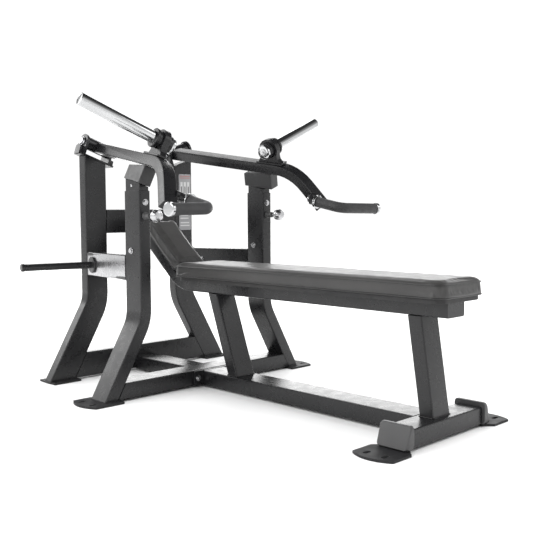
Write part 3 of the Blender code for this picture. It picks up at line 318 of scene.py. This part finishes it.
def new_piece(name, bm, material, body, smooth=True):
    bmesh.ops.recalc_face_normals(bm, faces=bm.faces)
    mesh = bpy.data.meshes.new(name)
    bm.to_mesh(mesh)
    bm.free()
    piece = bpy.data.objects.new(name, mesh)
    bpy.context.scene.collection.objects.link(piece)
    mesh.materials.append(MATERIALS[material])
    if smooth:
        mesh.polygons.foreach_set("use_smooth", [True] * len(mesh.polygons))
        mesh.set_sharp_from_angle(angle=PIECE_CREASE_ANGLE)
    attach(piece, body)
    return piece


def basis(axis):
    """A rotation that takes +Z to that axis."""
    return Vector(axis).normalized().to_track_quat("Z", "Y").to_matrix()


def turn(bm, centre, axis, profile, sides=32):
    """Turns a profile of (radius, height) about an axis; the ends close when the radius is 0."""
    spin = basis(axis)
    rings = []
    for radius, height in profile:
        if radius < 1e-6:
            rings.append([bm.verts.new(Vector(centre) + spin @ Vector((0, 0, height)))])
            continue
        ring = []
        for step in range(sides):
            a = 2 * math.pi * step / sides
            offset = Vector((radius * math.cos(a), radius * math.sin(a), height))
            ring.append(bm.verts.new(Vector(centre) + spin @ offset))
        rings.append(ring)
    for low, high in zip(rings, rings[1:]):
        for step in range(sides):
            nxt = (step + 1) % sides
            if len(low) == 1:
                bm.faces.new((low[0], high[nxt], high[step]))
            elif len(high) == 1:
                bm.faces.new((low[step], low[nxt], high[0]))
            else:
                bm.faces.new((low[step], low[nxt], high[nxt], high[step]))


WASHER_T = 0.0019
SUNK = 0.001


def hex_bolt(bm, centre, axis, across=0.017, height=0.0075, washer=0.0125):
    """A hexagon head with a chamfered crown on a washer."""
    rim = across / math.sqrt(3)
    ring = [(0, -SUNK), (washer, -SUNK), (washer, 0.0013), (washer - 0.0006, WASHER_T), (0, WASHER_T)]
    turn(bm, centre, axis, ring)
    head = [
        (0, WASHER_T),
        (rim, WASHER_T),
        (rim, height - 0.0012),
        (rim * 0.88, height),
        (rim * 0.62, height),
        (0, height - 0.0005),
    ]
    turn(bm, centre, axis, head, sides=6)


def button_bolt(bm, centre, axis, radius=0.0085, height=0.0048):
    """A domed screw head with a socket."""
    dome = [
        (0, -SUNK),
        (radius, -SUNK),
        (radius, height * 0.25),
        (radius * 0.9, height * 0.62),
        (radius * 0.66, height * 0.93),
        (radius * 0.42, height),
        (radius * 0.40, height * 0.45),
        (0, height * 0.45),
    ]
    turn(bm, centre, axis, dome, sides=28)


TREES = {}
CAST_START = 0.6


def seat(node, point, direction):
    """Where a line from outside meets a node, and the face's outward normal."""
    if node not in TREES:
        mesh = NODES[node].data
        mesh.calc_loop_triangles()
        TREES[node] = BVHTree.FromPolygons(
            [v.co.copy() for v in mesh.vertices], [tuple(t.vertices) for t in mesh.loop_triangles]
        )
    way = Vector(direction).normalized()
    hit, normal, _, _ = TREES[node].ray_cast(Vector(point) - way * CAST_START, way)
    if hit is None:
        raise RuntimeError(f"nothing of {node} lies on the line through {tuple(point)}")
    if normal.dot(way) > 0:
        normal = -normal
    return hit, normal


def sweep(bm, points, radius, closed=False, sides=10, ripple=0.0, pitch=0.004):
    """A round bead along a path; ripple gives a weld its scales."""
    count = len(points)
    rings = []
    travelled = 0.0
    previous = None
    for index, point in enumerate(points):
        before = points[(index - 1) % count] if closed or index else points[index]
        after = points[(index + 1) % count] if closed or index < count - 1 else points[index]
        along = (after - before).normalized()
        if previous is None:
            side = along.cross(Vector((0, 0, 1)))
            if side.length < 1e-3:
                side = along.cross(Vector((1, 0, 0)))
        else:
            side = previous - along * previous.dot(along)
        side.normalize()
        previous = side
        other = along.cross(side)
        if index:
            travelled += (point - points[index - 1]).length
        r = radius * (1 + ripple * math.sin(2 * math.pi * travelled / pitch))
        ring = []
        for k in range(sides):
            a = 2 * math.pi * k / sides
            ring.append(bm.verts.new(point + side * r * math.cos(a) + other * r * math.sin(a)))
        rings.append(ring)
    pairs = list(zip(rings, rings[1:]))
    if closed:
        pairs.append((rings[-1], rings[0]))
    for low, high in pairs:
        for k in range(sides):
            n = (k + 1) % sides
            bm.faces.new((low[k], low[n], high[n], high[k]))
    if not closed:
        bm.faces.new(rings[0])
        bm.faces.new(rings[-1])


def corner_centres(half_x, half_y, radius):
    """The centres of a rounded rectangle's corners, each with the degree its arc starts at."""
    return (
        (half_x - radius, half_y - radius, 0),
        (-half_x + radius, half_y - radius, 90),
        (-half_x + radius, -half_y + radius, 180),
        (half_x - radius, -half_y + radius, 270),
    )


def on_arc(cx, cy, radius, degrees, z):
    a = math.radians(degrees)
    return Vector((cx + radius * math.cos(a), cy + radius * math.sin(a), z))


def rounded_outline(half_x, half_y, radius, z, spacing=0.004, centre=(0, 0)):
    """A closed path round a rectangle with rounded corners."""
    points = []
    for cx, cy, start in corner_centres(half_x, half_y, radius):
        at = (centre[0] + cx, centre[1] + cy)
        points += [on_arc(*at, radius, start + 90 * step / 8, z) for step in range(9)]
    filled = []
    for here, there in zip(points, points[1:] + points[:1]):
        parts = max(1, int((there - here).length / spacing))
        for step in range(parts):
            filled.append(here.lerp(there, step / parts))
    return filled


# ---------------------------------------------------------------- cushions

CUSHION_VOXEL = 0.005
CLOTH_FRAMES = 20
CLOTH_PRESSURE = 4.0
SWELL_CAP = 0.005
SEATED_Z = 0.0035
PROUD = 0.004
CROWN = 0.003
PIPING_R = 0.0026
PIPING_INSET = 0.0027
PIPING_Z = 0.0030
SEAM_R = 0.0013
SEAM_INSET = 0.0022
SEAM_HEIGHT = 0.80
HEAD_SLOPE = 40.4


def cushion_start(half_x, half_y, corner, thick, crown):
    """The shape before its cover is blown up: rounded plan, rolled top edge, crowned top, sides tucked in."""
    profile = [
        (0.0035, 0.0),
        (0.0015, 0.004),
        (0.0008, thick * 0.30),
        (0.0008, thick * 0.66),
        (0.0015, thick * 0.82),
        (0.0045, thick * 0.925),
        (0.0105, thick * 0.975),
        (0.024, thick * 0.990),
        (0.050, thick * 0.990 + crown * 0.7),
        (0.60 * half_x, thick * 0.990 + crown * 0.9),
    ]
    bm = bmesh.new()
    rings = []
    for inset, z in profile:
        r = max(corner - inset * 0.6, 0.006)
        rings.append([bm.verts.new(p) for p in plan_ring(half_x - inset, half_y - inset, r, z)])
    for low, high in zip(rings, rings[1:]):
        for k in range(len(low)):
            n = (k + 1) % len(low)
            bm.faces.new((low[k], low[n], high[n], high[k]))
    bm.faces.new(list(reversed(rings[0])))
    bm.faces.new(rings[-1])
    bmesh.ops.triangulate(bm, faces=[f for f in bm.faces if len(f.verts) > 4])
    return bm


def plan_ring(half_x, half_y, radius, z):
    """A ring with the same count of points whatever its size, so that rings join one to one."""
    corners = corner_centres(half_x, half_y, radius)
    points = []
    for index, (cx, cy, start) in enumerate(corners):
        arc = [on_arc(cx, cy, radius, start + 15 * step, z) for step in range(7)]
        points += arc
        nx, ny, turned = corners[(index + 1) % 4]
        target = on_arc(nx, ny, radius, turned, z)
        runs = 24 if abs(target.y - arc[-1].y) > abs(target.x - arc[-1].x) else 6
        points += [arc[-1].lerp(target, step / runs) for step in range(1, runs)]
    return points


def from_evaluated(source):
    """A fresh mesh of what the object looks like with its modifiers."""
    dg = bpy.context.evaluated_depsgraph_get()
    return bpy.data.meshes.new_from_object(source.evaluated_get(dg), depsgraph=dg)


def inflate(work, thick):
    """Blows the cover up with Cloth, keeping the seated face where it is, and caps how far a point moves."""
    rest = [v.co.copy() for v in work.data.vertices]
    pins = work.vertex_groups.new(name="seated")
    pins.add([i for i, co in enumerate(rest) if co.z < SEATED_Z], 1.0, "REPLACE")
    cloth = work.modifiers.new("cover", "CLOTH")
    cloth.settings.quality = 4
    cloth.settings.use_pressure = True
    cloth.settings.uniform_pressure_force = CLOTH_PRESSURE
    cloth.settings.effector_weights.gravity = 0.0
    cloth.settings.vertex_group_mass = "seated"
    cloth.settings.pin_stiffness = 1.0
    cloth.collision_settings.use_collision = False
    cloth.point_cache.frame_start = 1
    cloth.point_cache.frame_end = CLOTH_FRAMES
    scene = bpy.context.scene
    for number in range(1, CLOTH_FRAMES + 1):
        scene.frame_set(number)
    puffed = from_evaluated(work)
    scene.frame_set(1)
    for vertex, start in zip(puffed.vertices, rest):
        move = vertex.co - start
        if move.length > SWELL_CAP:
            vertex.co = start + move * (SWELL_CAP / move.length)
        if start.z < SEATED_Z:
            vertex.co = start
        vertex.co.z = min(max(vertex.co.z, 0.0), thick + PROUD)
    return puffed


def cushion_rim(name, half_x, half_y, inset, corner, z, radius, sides, place):
    """Piping or a sewn edge that runs round the cushion at one height."""
    bm = bmesh.new()
    path = rounded_outline(half_x - inset, half_y - inset, corner, z)
    sweep(bm, [place @ p for p in path], radius, closed=True, sides=sides)
    new_piece(name, bm, "piping", "frame")


def cushion(name, node, half_x, half_y, corner, thick, place):
    bm = cushion_start(half_x, half_y, corner, thick, CROWN)
    bmesh.ops.recalc_face_normals(bm, faces=bm.faces)
    start = bpy.data.meshes.new(name + "_start")
    bm.to_mesh(start)
    bm.free()
    work = bpy.data.objects.new(name + "_work", start)
    bpy.context.scene.collection.objects.link(work)
    remesh = work.modifiers.new("even", "REMESH")
    remesh.mode = "VOXEL"
    remesh.voxel_size = CUSHION_VOXEL
    even = from_evaluated(work)
    work.modifiers.clear()
    work.data = even
    mesh = inflate(work, thick)
    bpy.data.objects.remove(work)
    mesh.name = name
    mesh.transform(place)
    mesh.materials.clear()
    mesh.materials.append(MATERIALS["pad_vinyl"])
    mesh.polygons.foreach_set("use_smooth", [True] * len(mesh.polygons))
    piece = bpy.data.objects.new(name, mesh)
    bpy.context.scene.collection.objects.link(piece)
    smooth = piece.modifiers.new("settle", "SMOOTH")
    smooth.factor = 0.5
    smooth.iterations = 1
    finer = piece.modifiers.new("finer", "SUBSURF")
    finer.levels = 1
    finer.render_levels = 1
    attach(piece, "frame")
    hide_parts(node)
    cushion_rim(name + "_piping", half_x, half_y, PIPING_INSET, corner, PIPING_Z, PIPING_R, 10, place)
    cushion_rim(name + "_top_seam", half_x, half_y, SEAM_INSET, corner, thick * SEAM_HEIGHT, SEAM_R, 8, place)


def make_cushions():
    lo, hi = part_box("bench_pad")
    place = Matrix.Translation(((lo.x + hi.x) / 2, (lo.y + hi.y) / 2, lo.z))
    cushion("bench_cushion", "bench_pad", (hi.x - lo.x) / 2, (hi.y - lo.y) / 2, 0.040, hi.z - lo.z, place)
    slope = math.radians(HEAD_SLOPE)
    along = Vector((0, math.cos(slope), math.sin(slope)))
    up = Vector((0, -math.sin(slope), math.cos(slope)))
    points = [Vector(v.co) for v in NODES["head_pad"].data.vertices]
    s_all = [p.dot(along) for p in points]
    t_all = [p.dot(up) for p in points]
    x_all = [p.x for p in points]
    origin = along * ((min(s_all) + max(s_all)) / 2) + up * min(t_all)
    place = Matrix(
        (
            (1, along.x, up.x, 0.0),
            (0, along.y, up.y, origin.y),
            (0, along.z, up.z, origin.z),
            (0, 0, 0, 1),
        )
    )
    half_x = (max(x_all) - min(x_all)) / 2
    half_y = (max(s_all) - min(s_all)) / 2
    cushion("head_cushion", "head_pad", half_x, half_y, 0.020, max(t_all) - min(t_all), place)


make_cushions()

# ---------------------------------------------------------------- arm frame

SHIFT_Y = 0.308
PIVOT = Vector((0.2904, 0.4925 + SHIFT_Y, 1.0064))
ARM_TOE = math.radians(12.0)
ARM_FALL = math.radians(8.7)
ARM_ROLL = math.radians(20.4)


def arm_frame():
    flat = math.cos(ARM_FALL)
    forward = Vector((math.sin(ARM_TOE) * flat, -math.cos(ARM_TOE) * flat, -math.sin(ARM_FALL)))
    level = Vector((math.cos(ARM_TOE), math.sin(ARM_TOE), 0.0))
    square = level.cross(forward)
    if square.z < 0:
        square = -square
    axis = level * math.cos(ARM_ROLL) + square * math.sin(ARM_ROLL)
    up = square * math.cos(ARM_ROLL) - level * math.sin(ARM_ROLL)
    return axis, forward, up


AXIS, FORWARD, UP = arm_frame()


def mirror(vector, sign):
    return Vector((vector.x * sign, vector.y, vector.z))


def arm_point(sign, k, s, t):
    return mirror(PIVOT + AXIS * k + FORWARD * s + UP * t, sign)


# ---------------------------------------------------------------- loading horns

HORN_S, HORN_T = 0.5394, 0.0842
HORN_SWEEP, HORN_LIFT = 0.0214, 0.0396
HORN_R = 0.0240
HORN_DISC_R = 0.0300
HORN_SHAFT_R = 0.0125
DISC_K0, DISC_K1 = -0.1484, -0.1350
HORN_K0, HORN_K1 = -0.0620, 0.2480
JOINT_GAP = 0.0003


def horn_point(sign, k):
    return arm_point(sign, k, HORN_S + HORN_SWEEP * k, HORN_T + HORN_LIFT * k)


def loading_horn(side, sign):
    """The chrome sleeve with its rolled mouth, the shaft, and the inner end disc with its socket screw."""
    base = horn_point(sign, 0.0)
    axis = horn_point(sign, 1.0) - base
    unit = axis.length
    k0, k1 = DISC_K0 * unit, DISC_K1 * unit - JOINT_GAP
    k2, k3 = HORN_K0 * unit + JOINT_GAP, HORN_K1 * unit
    bm = bmesh.new()
    profile = [
        (0, k0 + 0.0034),
        (0.0036, k0 + 0.0034),
        (0.0042, k0 + 0.0006),
        (0.0050, k0),
        (0.0130, k0),
        (0.0136, k0 + 0.0008),
        (0.0150, k0 + 0.0008),
        (0.0156, k0),
        (HORN_DISC_R - 0.0020, k0),
        (HORN_DISC_R - 0.0006, k0 + 0.0006),
        (HORN_DISC_R, k0 + 0.0020),
        (HORN_DISC_R, k1 - 0.0020),
        (HORN_DISC_R - 0.0006, k1 - 0.0006),
        (HORN_DISC_R - 0.0020, k1),
        (HORN_SHAFT_R, k1),
        (HORN_SHAFT_R, k2),
        (HORN_R - 0.0006, k2),
        (HORN_R, k2 + 0.0006),
        (HORN_R, k3 - 0.0040),
        (HORN_R - 0.0005, k3 - 0.0020),
        (HORN_R - 0.0018, k3 - 0.0005),
        (HORN_R - 0.0035, k3),
        (HORN_R - 0.0050, k3 - 0.0004),
        (HORN_R - 0.0056, k3 - 0.0020),
        (0, k3 - 0.0012),
    ]
    turn(bm, base, axis, profile, sides=72)
    piece = new_piece("loading_horn_" + side, bm, "chrome", "arm_" + side)
    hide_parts("weight_horn_" + side)


for side, sign in SIDES:
    loading_horn(side, sign)

# ---------------------------------------------------------------- fasteners and welds


def bolt_on(bm, node, point, direction, kind, **sizes):
    where, normal = seat(node, point, direction)
    kind(bm, where, normal, **sizes)


WEAR_SHEET = 0.0012
WEAR_GAP = 0.0001
WEAR_COLUMNS, WEAR_ROWS = 12, 5


def wear_plate(side, sign):
    """The bright sheet on the outer face of the side brace, which stored weight plates rest against."""
    lo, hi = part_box("side_brace_" + side)
    y0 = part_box("front_upright_" + side)[1].y + 0.001
    y1 = hi.y - 0.012
    z0, z1 = lo.z + 0.005, hi.z - 0.005
    outer = max(abs(lo.x), abs(hi.x))
    bm = bmesh.new()
    grid = []
    columns, rows = WEAR_COLUMNS, WEAR_ROWS
    for i in range(columns + 1):
        line = []
        for j in range(rows + 1):
            y = y0 + (y1 - y0) * i / columns
            z = z0 + (z1 - z0) * j / rows
            where, normal = seat("side_brace_" + side, (sign * outer, y, z), (-sign, 0, 0))
            line.append((where, normal))
        grid.append(line)
    skin = [[bm.verts.new(p + n * WEAR_SHEET) for p, n in line] for line in grid]
    under = [[bm.verts.new(p + n * WEAR_GAP) for p, n in line] for line in grid]
    for i in range(columns):
        for j in range(rows):
            bm.faces.new((skin[i][j], skin[i + 1][j], skin[i + 1][j + 1], skin[i][j + 1]))
            bm.faces.new((under[i][j], under[i][j + 1], under[i + 1][j + 1], under[i + 1][j]))
    edge = (
        [(i, 0) for i in range(columns)]
        + [(columns, j) for j in range(rows)]
        + [(i, rows) for i in range(columns, 0, -1)]
        + [(0, j) for j in range(rows, 0, -1)]
    )
    for (i, j), (k, m) in zip(edge, edge[1:] + edge[:1]):
        bm.faces.new((skin[i][j], under[i][j], under[k][m], skin[k][m]))
    new_piece("wear_plate_" + side, bm, "wear_plate", "frame")


def frame_fasteners(side, sign):
    bm = bmesh.new()
    bolt_on(bm, "front_upright_" + side, (sign * 0.3188, 0.3, 0.7405), (0, 1, 0), hex_bolt, across=0.017)
    inner = (sign * 0.20, 0.36 + SHIFT_Y, 0.487)
    bolt_on(bm, "side_brace_" + side, inner, (sign, 0, 0), hex_bolt, across=0.015, washer=0.011)
    new_piece("frame_bolts_" + side, bm, "bright_steel", "frame")


def arm_fasteners(side, sign):
    bm = bmesh.new()
    head = arm_point(sign, -0.150, 0.756, -0.0925)
    bolt_on(bm, "arm_tube_" + side, head, mirror(AXIS, sign), hex_bolt, across=0.015, washer=0.0125)
    new_piece("arm_bolts_" + side, bm, "bright_steel", "arm_" + side)


def stop_fasteners(side, sign):
    bm = bmesh.new()
    head = (sign * 0.5, 0.055 + SHIFT_Y, 0.8035)
    bolt_on(bm, "stop_post_" + side, head, (-sign, 0, 0), button_bolt, radius=0.0055, height=0.003)
    new_piece("post_bolt_" + side, bm, "bright_steel", "stop_" + side)


BEAD_R = 0.0022
BEAD_GROW = 0.0008
BEAD_CORNER = 0.006
BEAD_SPACING = 0.0011


def box_loop(lo, hi, z):
    """The path of a weld round a tube whose plan box is lo to hi."""
    centre = ((lo.x + hi.x) / 2, (lo.y + hi.y) / 2)
    half_x = (hi.x - lo.x) / 2 + BEAD_GROW
    half_y = (hi.y - lo.y) / 2 + BEAD_GROW
    return rounded_outline(half_x, half_y, BEAD_CORNER, z, spacing=BEAD_SPACING, centre=centre)


def slice_box(node, z):
    """The plan box of a node near one height, from the edges that cross it."""
    mesh = NODES[node].data
    xs, ys = [], []
    for poly in mesh.polygons:
        pts = [mesh.vertices[i].co for i in poly.vertices]
        for a, b in zip(pts, pts[1:] + pts[:1]):
            if (a.z - z) * (b.z - z) <= 0 and abs(a.z - b.z) > 1e-9:
                p = a.lerp(b, (z - a.z) / (b.z - a.z))
                xs.append(p.x)
                ys.append(p.y)
    return Vector((min(xs), min(ys), z)), Vector((max(xs), max(ys), z))


def weld_round(name, node, z):
    """A rippled bead where an upright tube stands on the plate or tube whose top is at z."""
    lo, hi = slice_box(node, z + 0.003)
    bm = bmesh.new()
    sweep(bm, box_loop(lo, hi, z + BEAD_R * 0.3), BEAD_R, closed=True, sides=8, ripple=0.10, pitch=0.0045)
    new_piece(name, bm, "black_paint", "frame")


for side, sign in SIDES:
    wear_plate(side, sign)
    frame_fasteners(side, sign)
    arm_fasteners(side, sign)
    stop_fasteners(side, sign)
    weld_round("front_foot_weld_" + side, "front_upright_" + side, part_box("front_foot_" + side)[1].z)
    weld_round("rear_foot_weld_" + side, "rear_upright_" + side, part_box("rear_foot_" + side)[1].z)
weld_round("head_post_weld", "head_post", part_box("head_post")[0].z)
weld_round("foot_post_weld", "foot_post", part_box("foot_post")[0].z)

# ---------------------------------------------------------------- placard


PRINT_T = 0.0003
BAR_T = 0.0002
PANEL_X = (0.10, 0.38, 0.66)


def slab(bm, x0, x1, z0, z1, y, depth, place):
    """A thin printed patch that stands proud of the plate by its depth."""
    corners = ((x0, z0), (x1, z0), (x1, z1), (x0, z1))
    front = [bm.verts.new(place(x, y - depth, z)) for x, z in corners]
    back = [bm.verts.new(place(x, y + BAR_T, z)) for x, z in corners]
    bm.faces.new(front)
    bm.faces.new(list(reversed(back)))
    for k in range(4):
        n = (k + 1) % 4
        bm.faces.new((front[k], back[k], back[n], front[n]))


def make_placard():
    lo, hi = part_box("placard")
    width, height = hi.x - lo.x, hi.z - lo.z

    def place(x, y, z):
        return Vector((lo.x + x * width, y, lo.z + z * height))

    header = bmesh.new()
    for z0, z1 in ((0.955, 0.972), (0.925, 0.938)):
        slab(header, 0.08, 0.92, z0, z1, lo.y, PRINT_T, place)
    new_piece("placard_header", header, "print_red", "frame", smooth=False)
    pale = bmesh.new()
    for x0 in PANEL_X:
        slab(pale, x0 + 0.03, x0 + 0.21, 0.62, 0.86, lo.y, PRINT_T, place)
        slab(pale, x0, x0 + 0.24, 0.44, 0.58, lo.y, PRINT_T, place)
    for z0 in (0.30, 0.25, 0.20, 0.12, 0.07):
        slab(pale, 0.10, 0.90 - 0.6 * z0, z0, z0 + 0.022, lo.y, PRINT_T, place)
    new_piece("placard_panels", pale, "print_pale", "frame", smooth=False)
    dark = bmesh.new()
    for x0 in PANEL_X:
        slab(dark, x0 + 0.085, x0 + 0.155, 0.66, 0.78, lo.y - PRINT_T, BAR_T, place)
        slab(dark, x0 + 0.04, x0 + 0.20, 0.49, 0.51, lo.y - PRINT_T, BAR_T, place)
    new_piece("placard_bars", dark, "print_dark", "frame", smooth=False)


make_placard()

# ---------------------------------------------------------------- studio


# Each area light: name, place, aim, width and height, radiance.
AREA_LIGHTS = (
    ("backdrop", (4.6, 4.6, 1.5), (0, 0, 0.7), (8.0, 3.0), 2.6),
    ("key", (-4.2, 0.4, 2.6), (0, 0, 0.6), (2.6, 2.0), 3.6),
    ("fill", (3.0, -3.4, 3.2), (0, 0, 0.5), (2.4, 1.8), 2.0),
    ("rear_left", (-2.6, 4.6, 3.9), (0, 0, 0.6), (3.6, 3.0), 1.7),
    ("rear_strip", (-2.4, 5.1, 2.5), (0, 0.5, 0.5), (1.8, 1.6), 3.6),
    ("rear_high", (2.6, 3.2, 3.7), (0, 0, 0.8), (2.2, 1.6), 2.2),
)
WHITE_SKY = (0.0, 0.27)
SKY_TONES = ((0.38, 0.50), (0.55, 0.30), (0.72, 0.06), (1.0, 0.04))
SUN_ANGLE = math.radians(80)
CAMERA_TURN = (44.3561, -4.0115, -0.2816)
CAMERA_PLACE = (-2.0946, -2.1568, 0.7074)
CAMERA_LENS = 53.94


def studio():
    """A white floor and sky, with lights placed for the reflections seen in the photo."""
    scene = bpy.context.scene
    floor_mesh = bpy.data.meshes.new("studio_floor")
    bm = bmesh.new()
    bmesh.ops.create_grid(bm, x_segments=24, y_segments=24, size=30.0)
    bm.to_mesh(floor_mesh)
    bm.free()
    floor = bpy.data.objects.new("studio_floor", floor_mesh)
    scene.collection.objects.link(floor)
    pale = Tree("studio_floor")
    pale.colours(pale.noise(3), (0.90, 0.90, 0.90), (0.92, 0.92, 0.92))
    pale.set(Roughness=0.7, Specular_IOR_Level=0.1)
    floor_mesh.materials.append(pale.material)

    world = bpy.data.worlds.new("studio")
    scene.world = world
    world.use_nodes = True
    tree = world.node_tree
    back = tree.nodes["Background"]
    coords = tree.nodes.new("ShaderNodeTexCoord")
    split = tree.nodes.new("ShaderNodeSeparateXYZ")
    ramp = tree.nodes.new("ShaderNodeValToRGB")
    tree.links.new(coords.outputs["Generated"], split.inputs[0])
    tree.links.new(split.outputs["Z"], ramp.inputs["Fac"])
    tree.links.new(ramp.outputs["Color"], back.inputs["Color"])
    stops = ramp.color_ramp
    for stop, place in zip(stops.elements, WHITE_SKY):
        stop.position = place
        stop.color = (1, 1, 1, 1)
    for place, tone in SKY_TONES:
        stops.elements.new(place).color = (tone, tone, tone, 1)
    back.inputs["Strength"].default_value = 1.05

    def area(name, where, aim, size, radiance):
        data = bpy.data.lights.new(name, "AREA")
        data.shape = "RECTANGLE"
        data.size, data.size_y = size
        data.energy = radiance * math.pi * size[0] * size[1]
        light = bpy.data.objects.new(name, data)
        light.location = where
        light.rotation_euler = (Vector(aim) - Vector(where)).to_track_quat("-Z", "Y").to_euler()
        scene.collection.objects.link(light)

    for row in AREA_LIGHTS:
        area(*row)
    sun = bpy.data.lights.new("overhead", "SUN")
    sun.angle = SUN_ANGLE
    sun.energy = 3.5
    overhead = bpy.data.objects.new("overhead", sun)
    overhead.visible_glossy = False
    scene.collection.objects.link(overhead)
    scene.view_settings.view_transform = "Standard"
    scene.view_settings.look = "None"
    scene.view_settings.exposure = 0.0
    scene.view_settings.gamma = 1.0


def photo_camera():
    """The camera solved from the photo's edges, as yaw, pitch and roll in degrees at a place."""
    yaw, pitch, roll = (math.radians(a) for a in CAMERA_TURN)
    ahead = Vector((math.sin(yaw) * math.cos(pitch), math.cos(yaw) * math.cos(pitch), math.sin(pitch)))
    right = Vector((math.cos(yaw), -math.sin(yaw), 0.0))
    up = right.cross(ahead)
    turned_right = right * math.cos(roll) + up * math.sin(roll)
    turned_up = up * math.cos(roll) - right * math.sin(roll)
    data = bpy.data.cameras.new("photo_camera")
    data.lens = CAMERA_LENS
    data.sensor_width = 36.0
    data.clip_start = 0.05
    data.clip_end = 200.0
    camera = bpy.data.objects.new("photo_camera", data)
    bpy.context.scene.collection.objects.link(camera)
    columns = (turned_right, turned_up, -ahead, Vector(CAMERA_PLACE))
    camera.matrix_world = Matrix([[c[row] for c in columns] for row in range(3)] + [[0, 0, 0, 1]])
    bpy.context.scene.camera = camera


studio()
photo_camera()
bpy.context.view_layer.update()
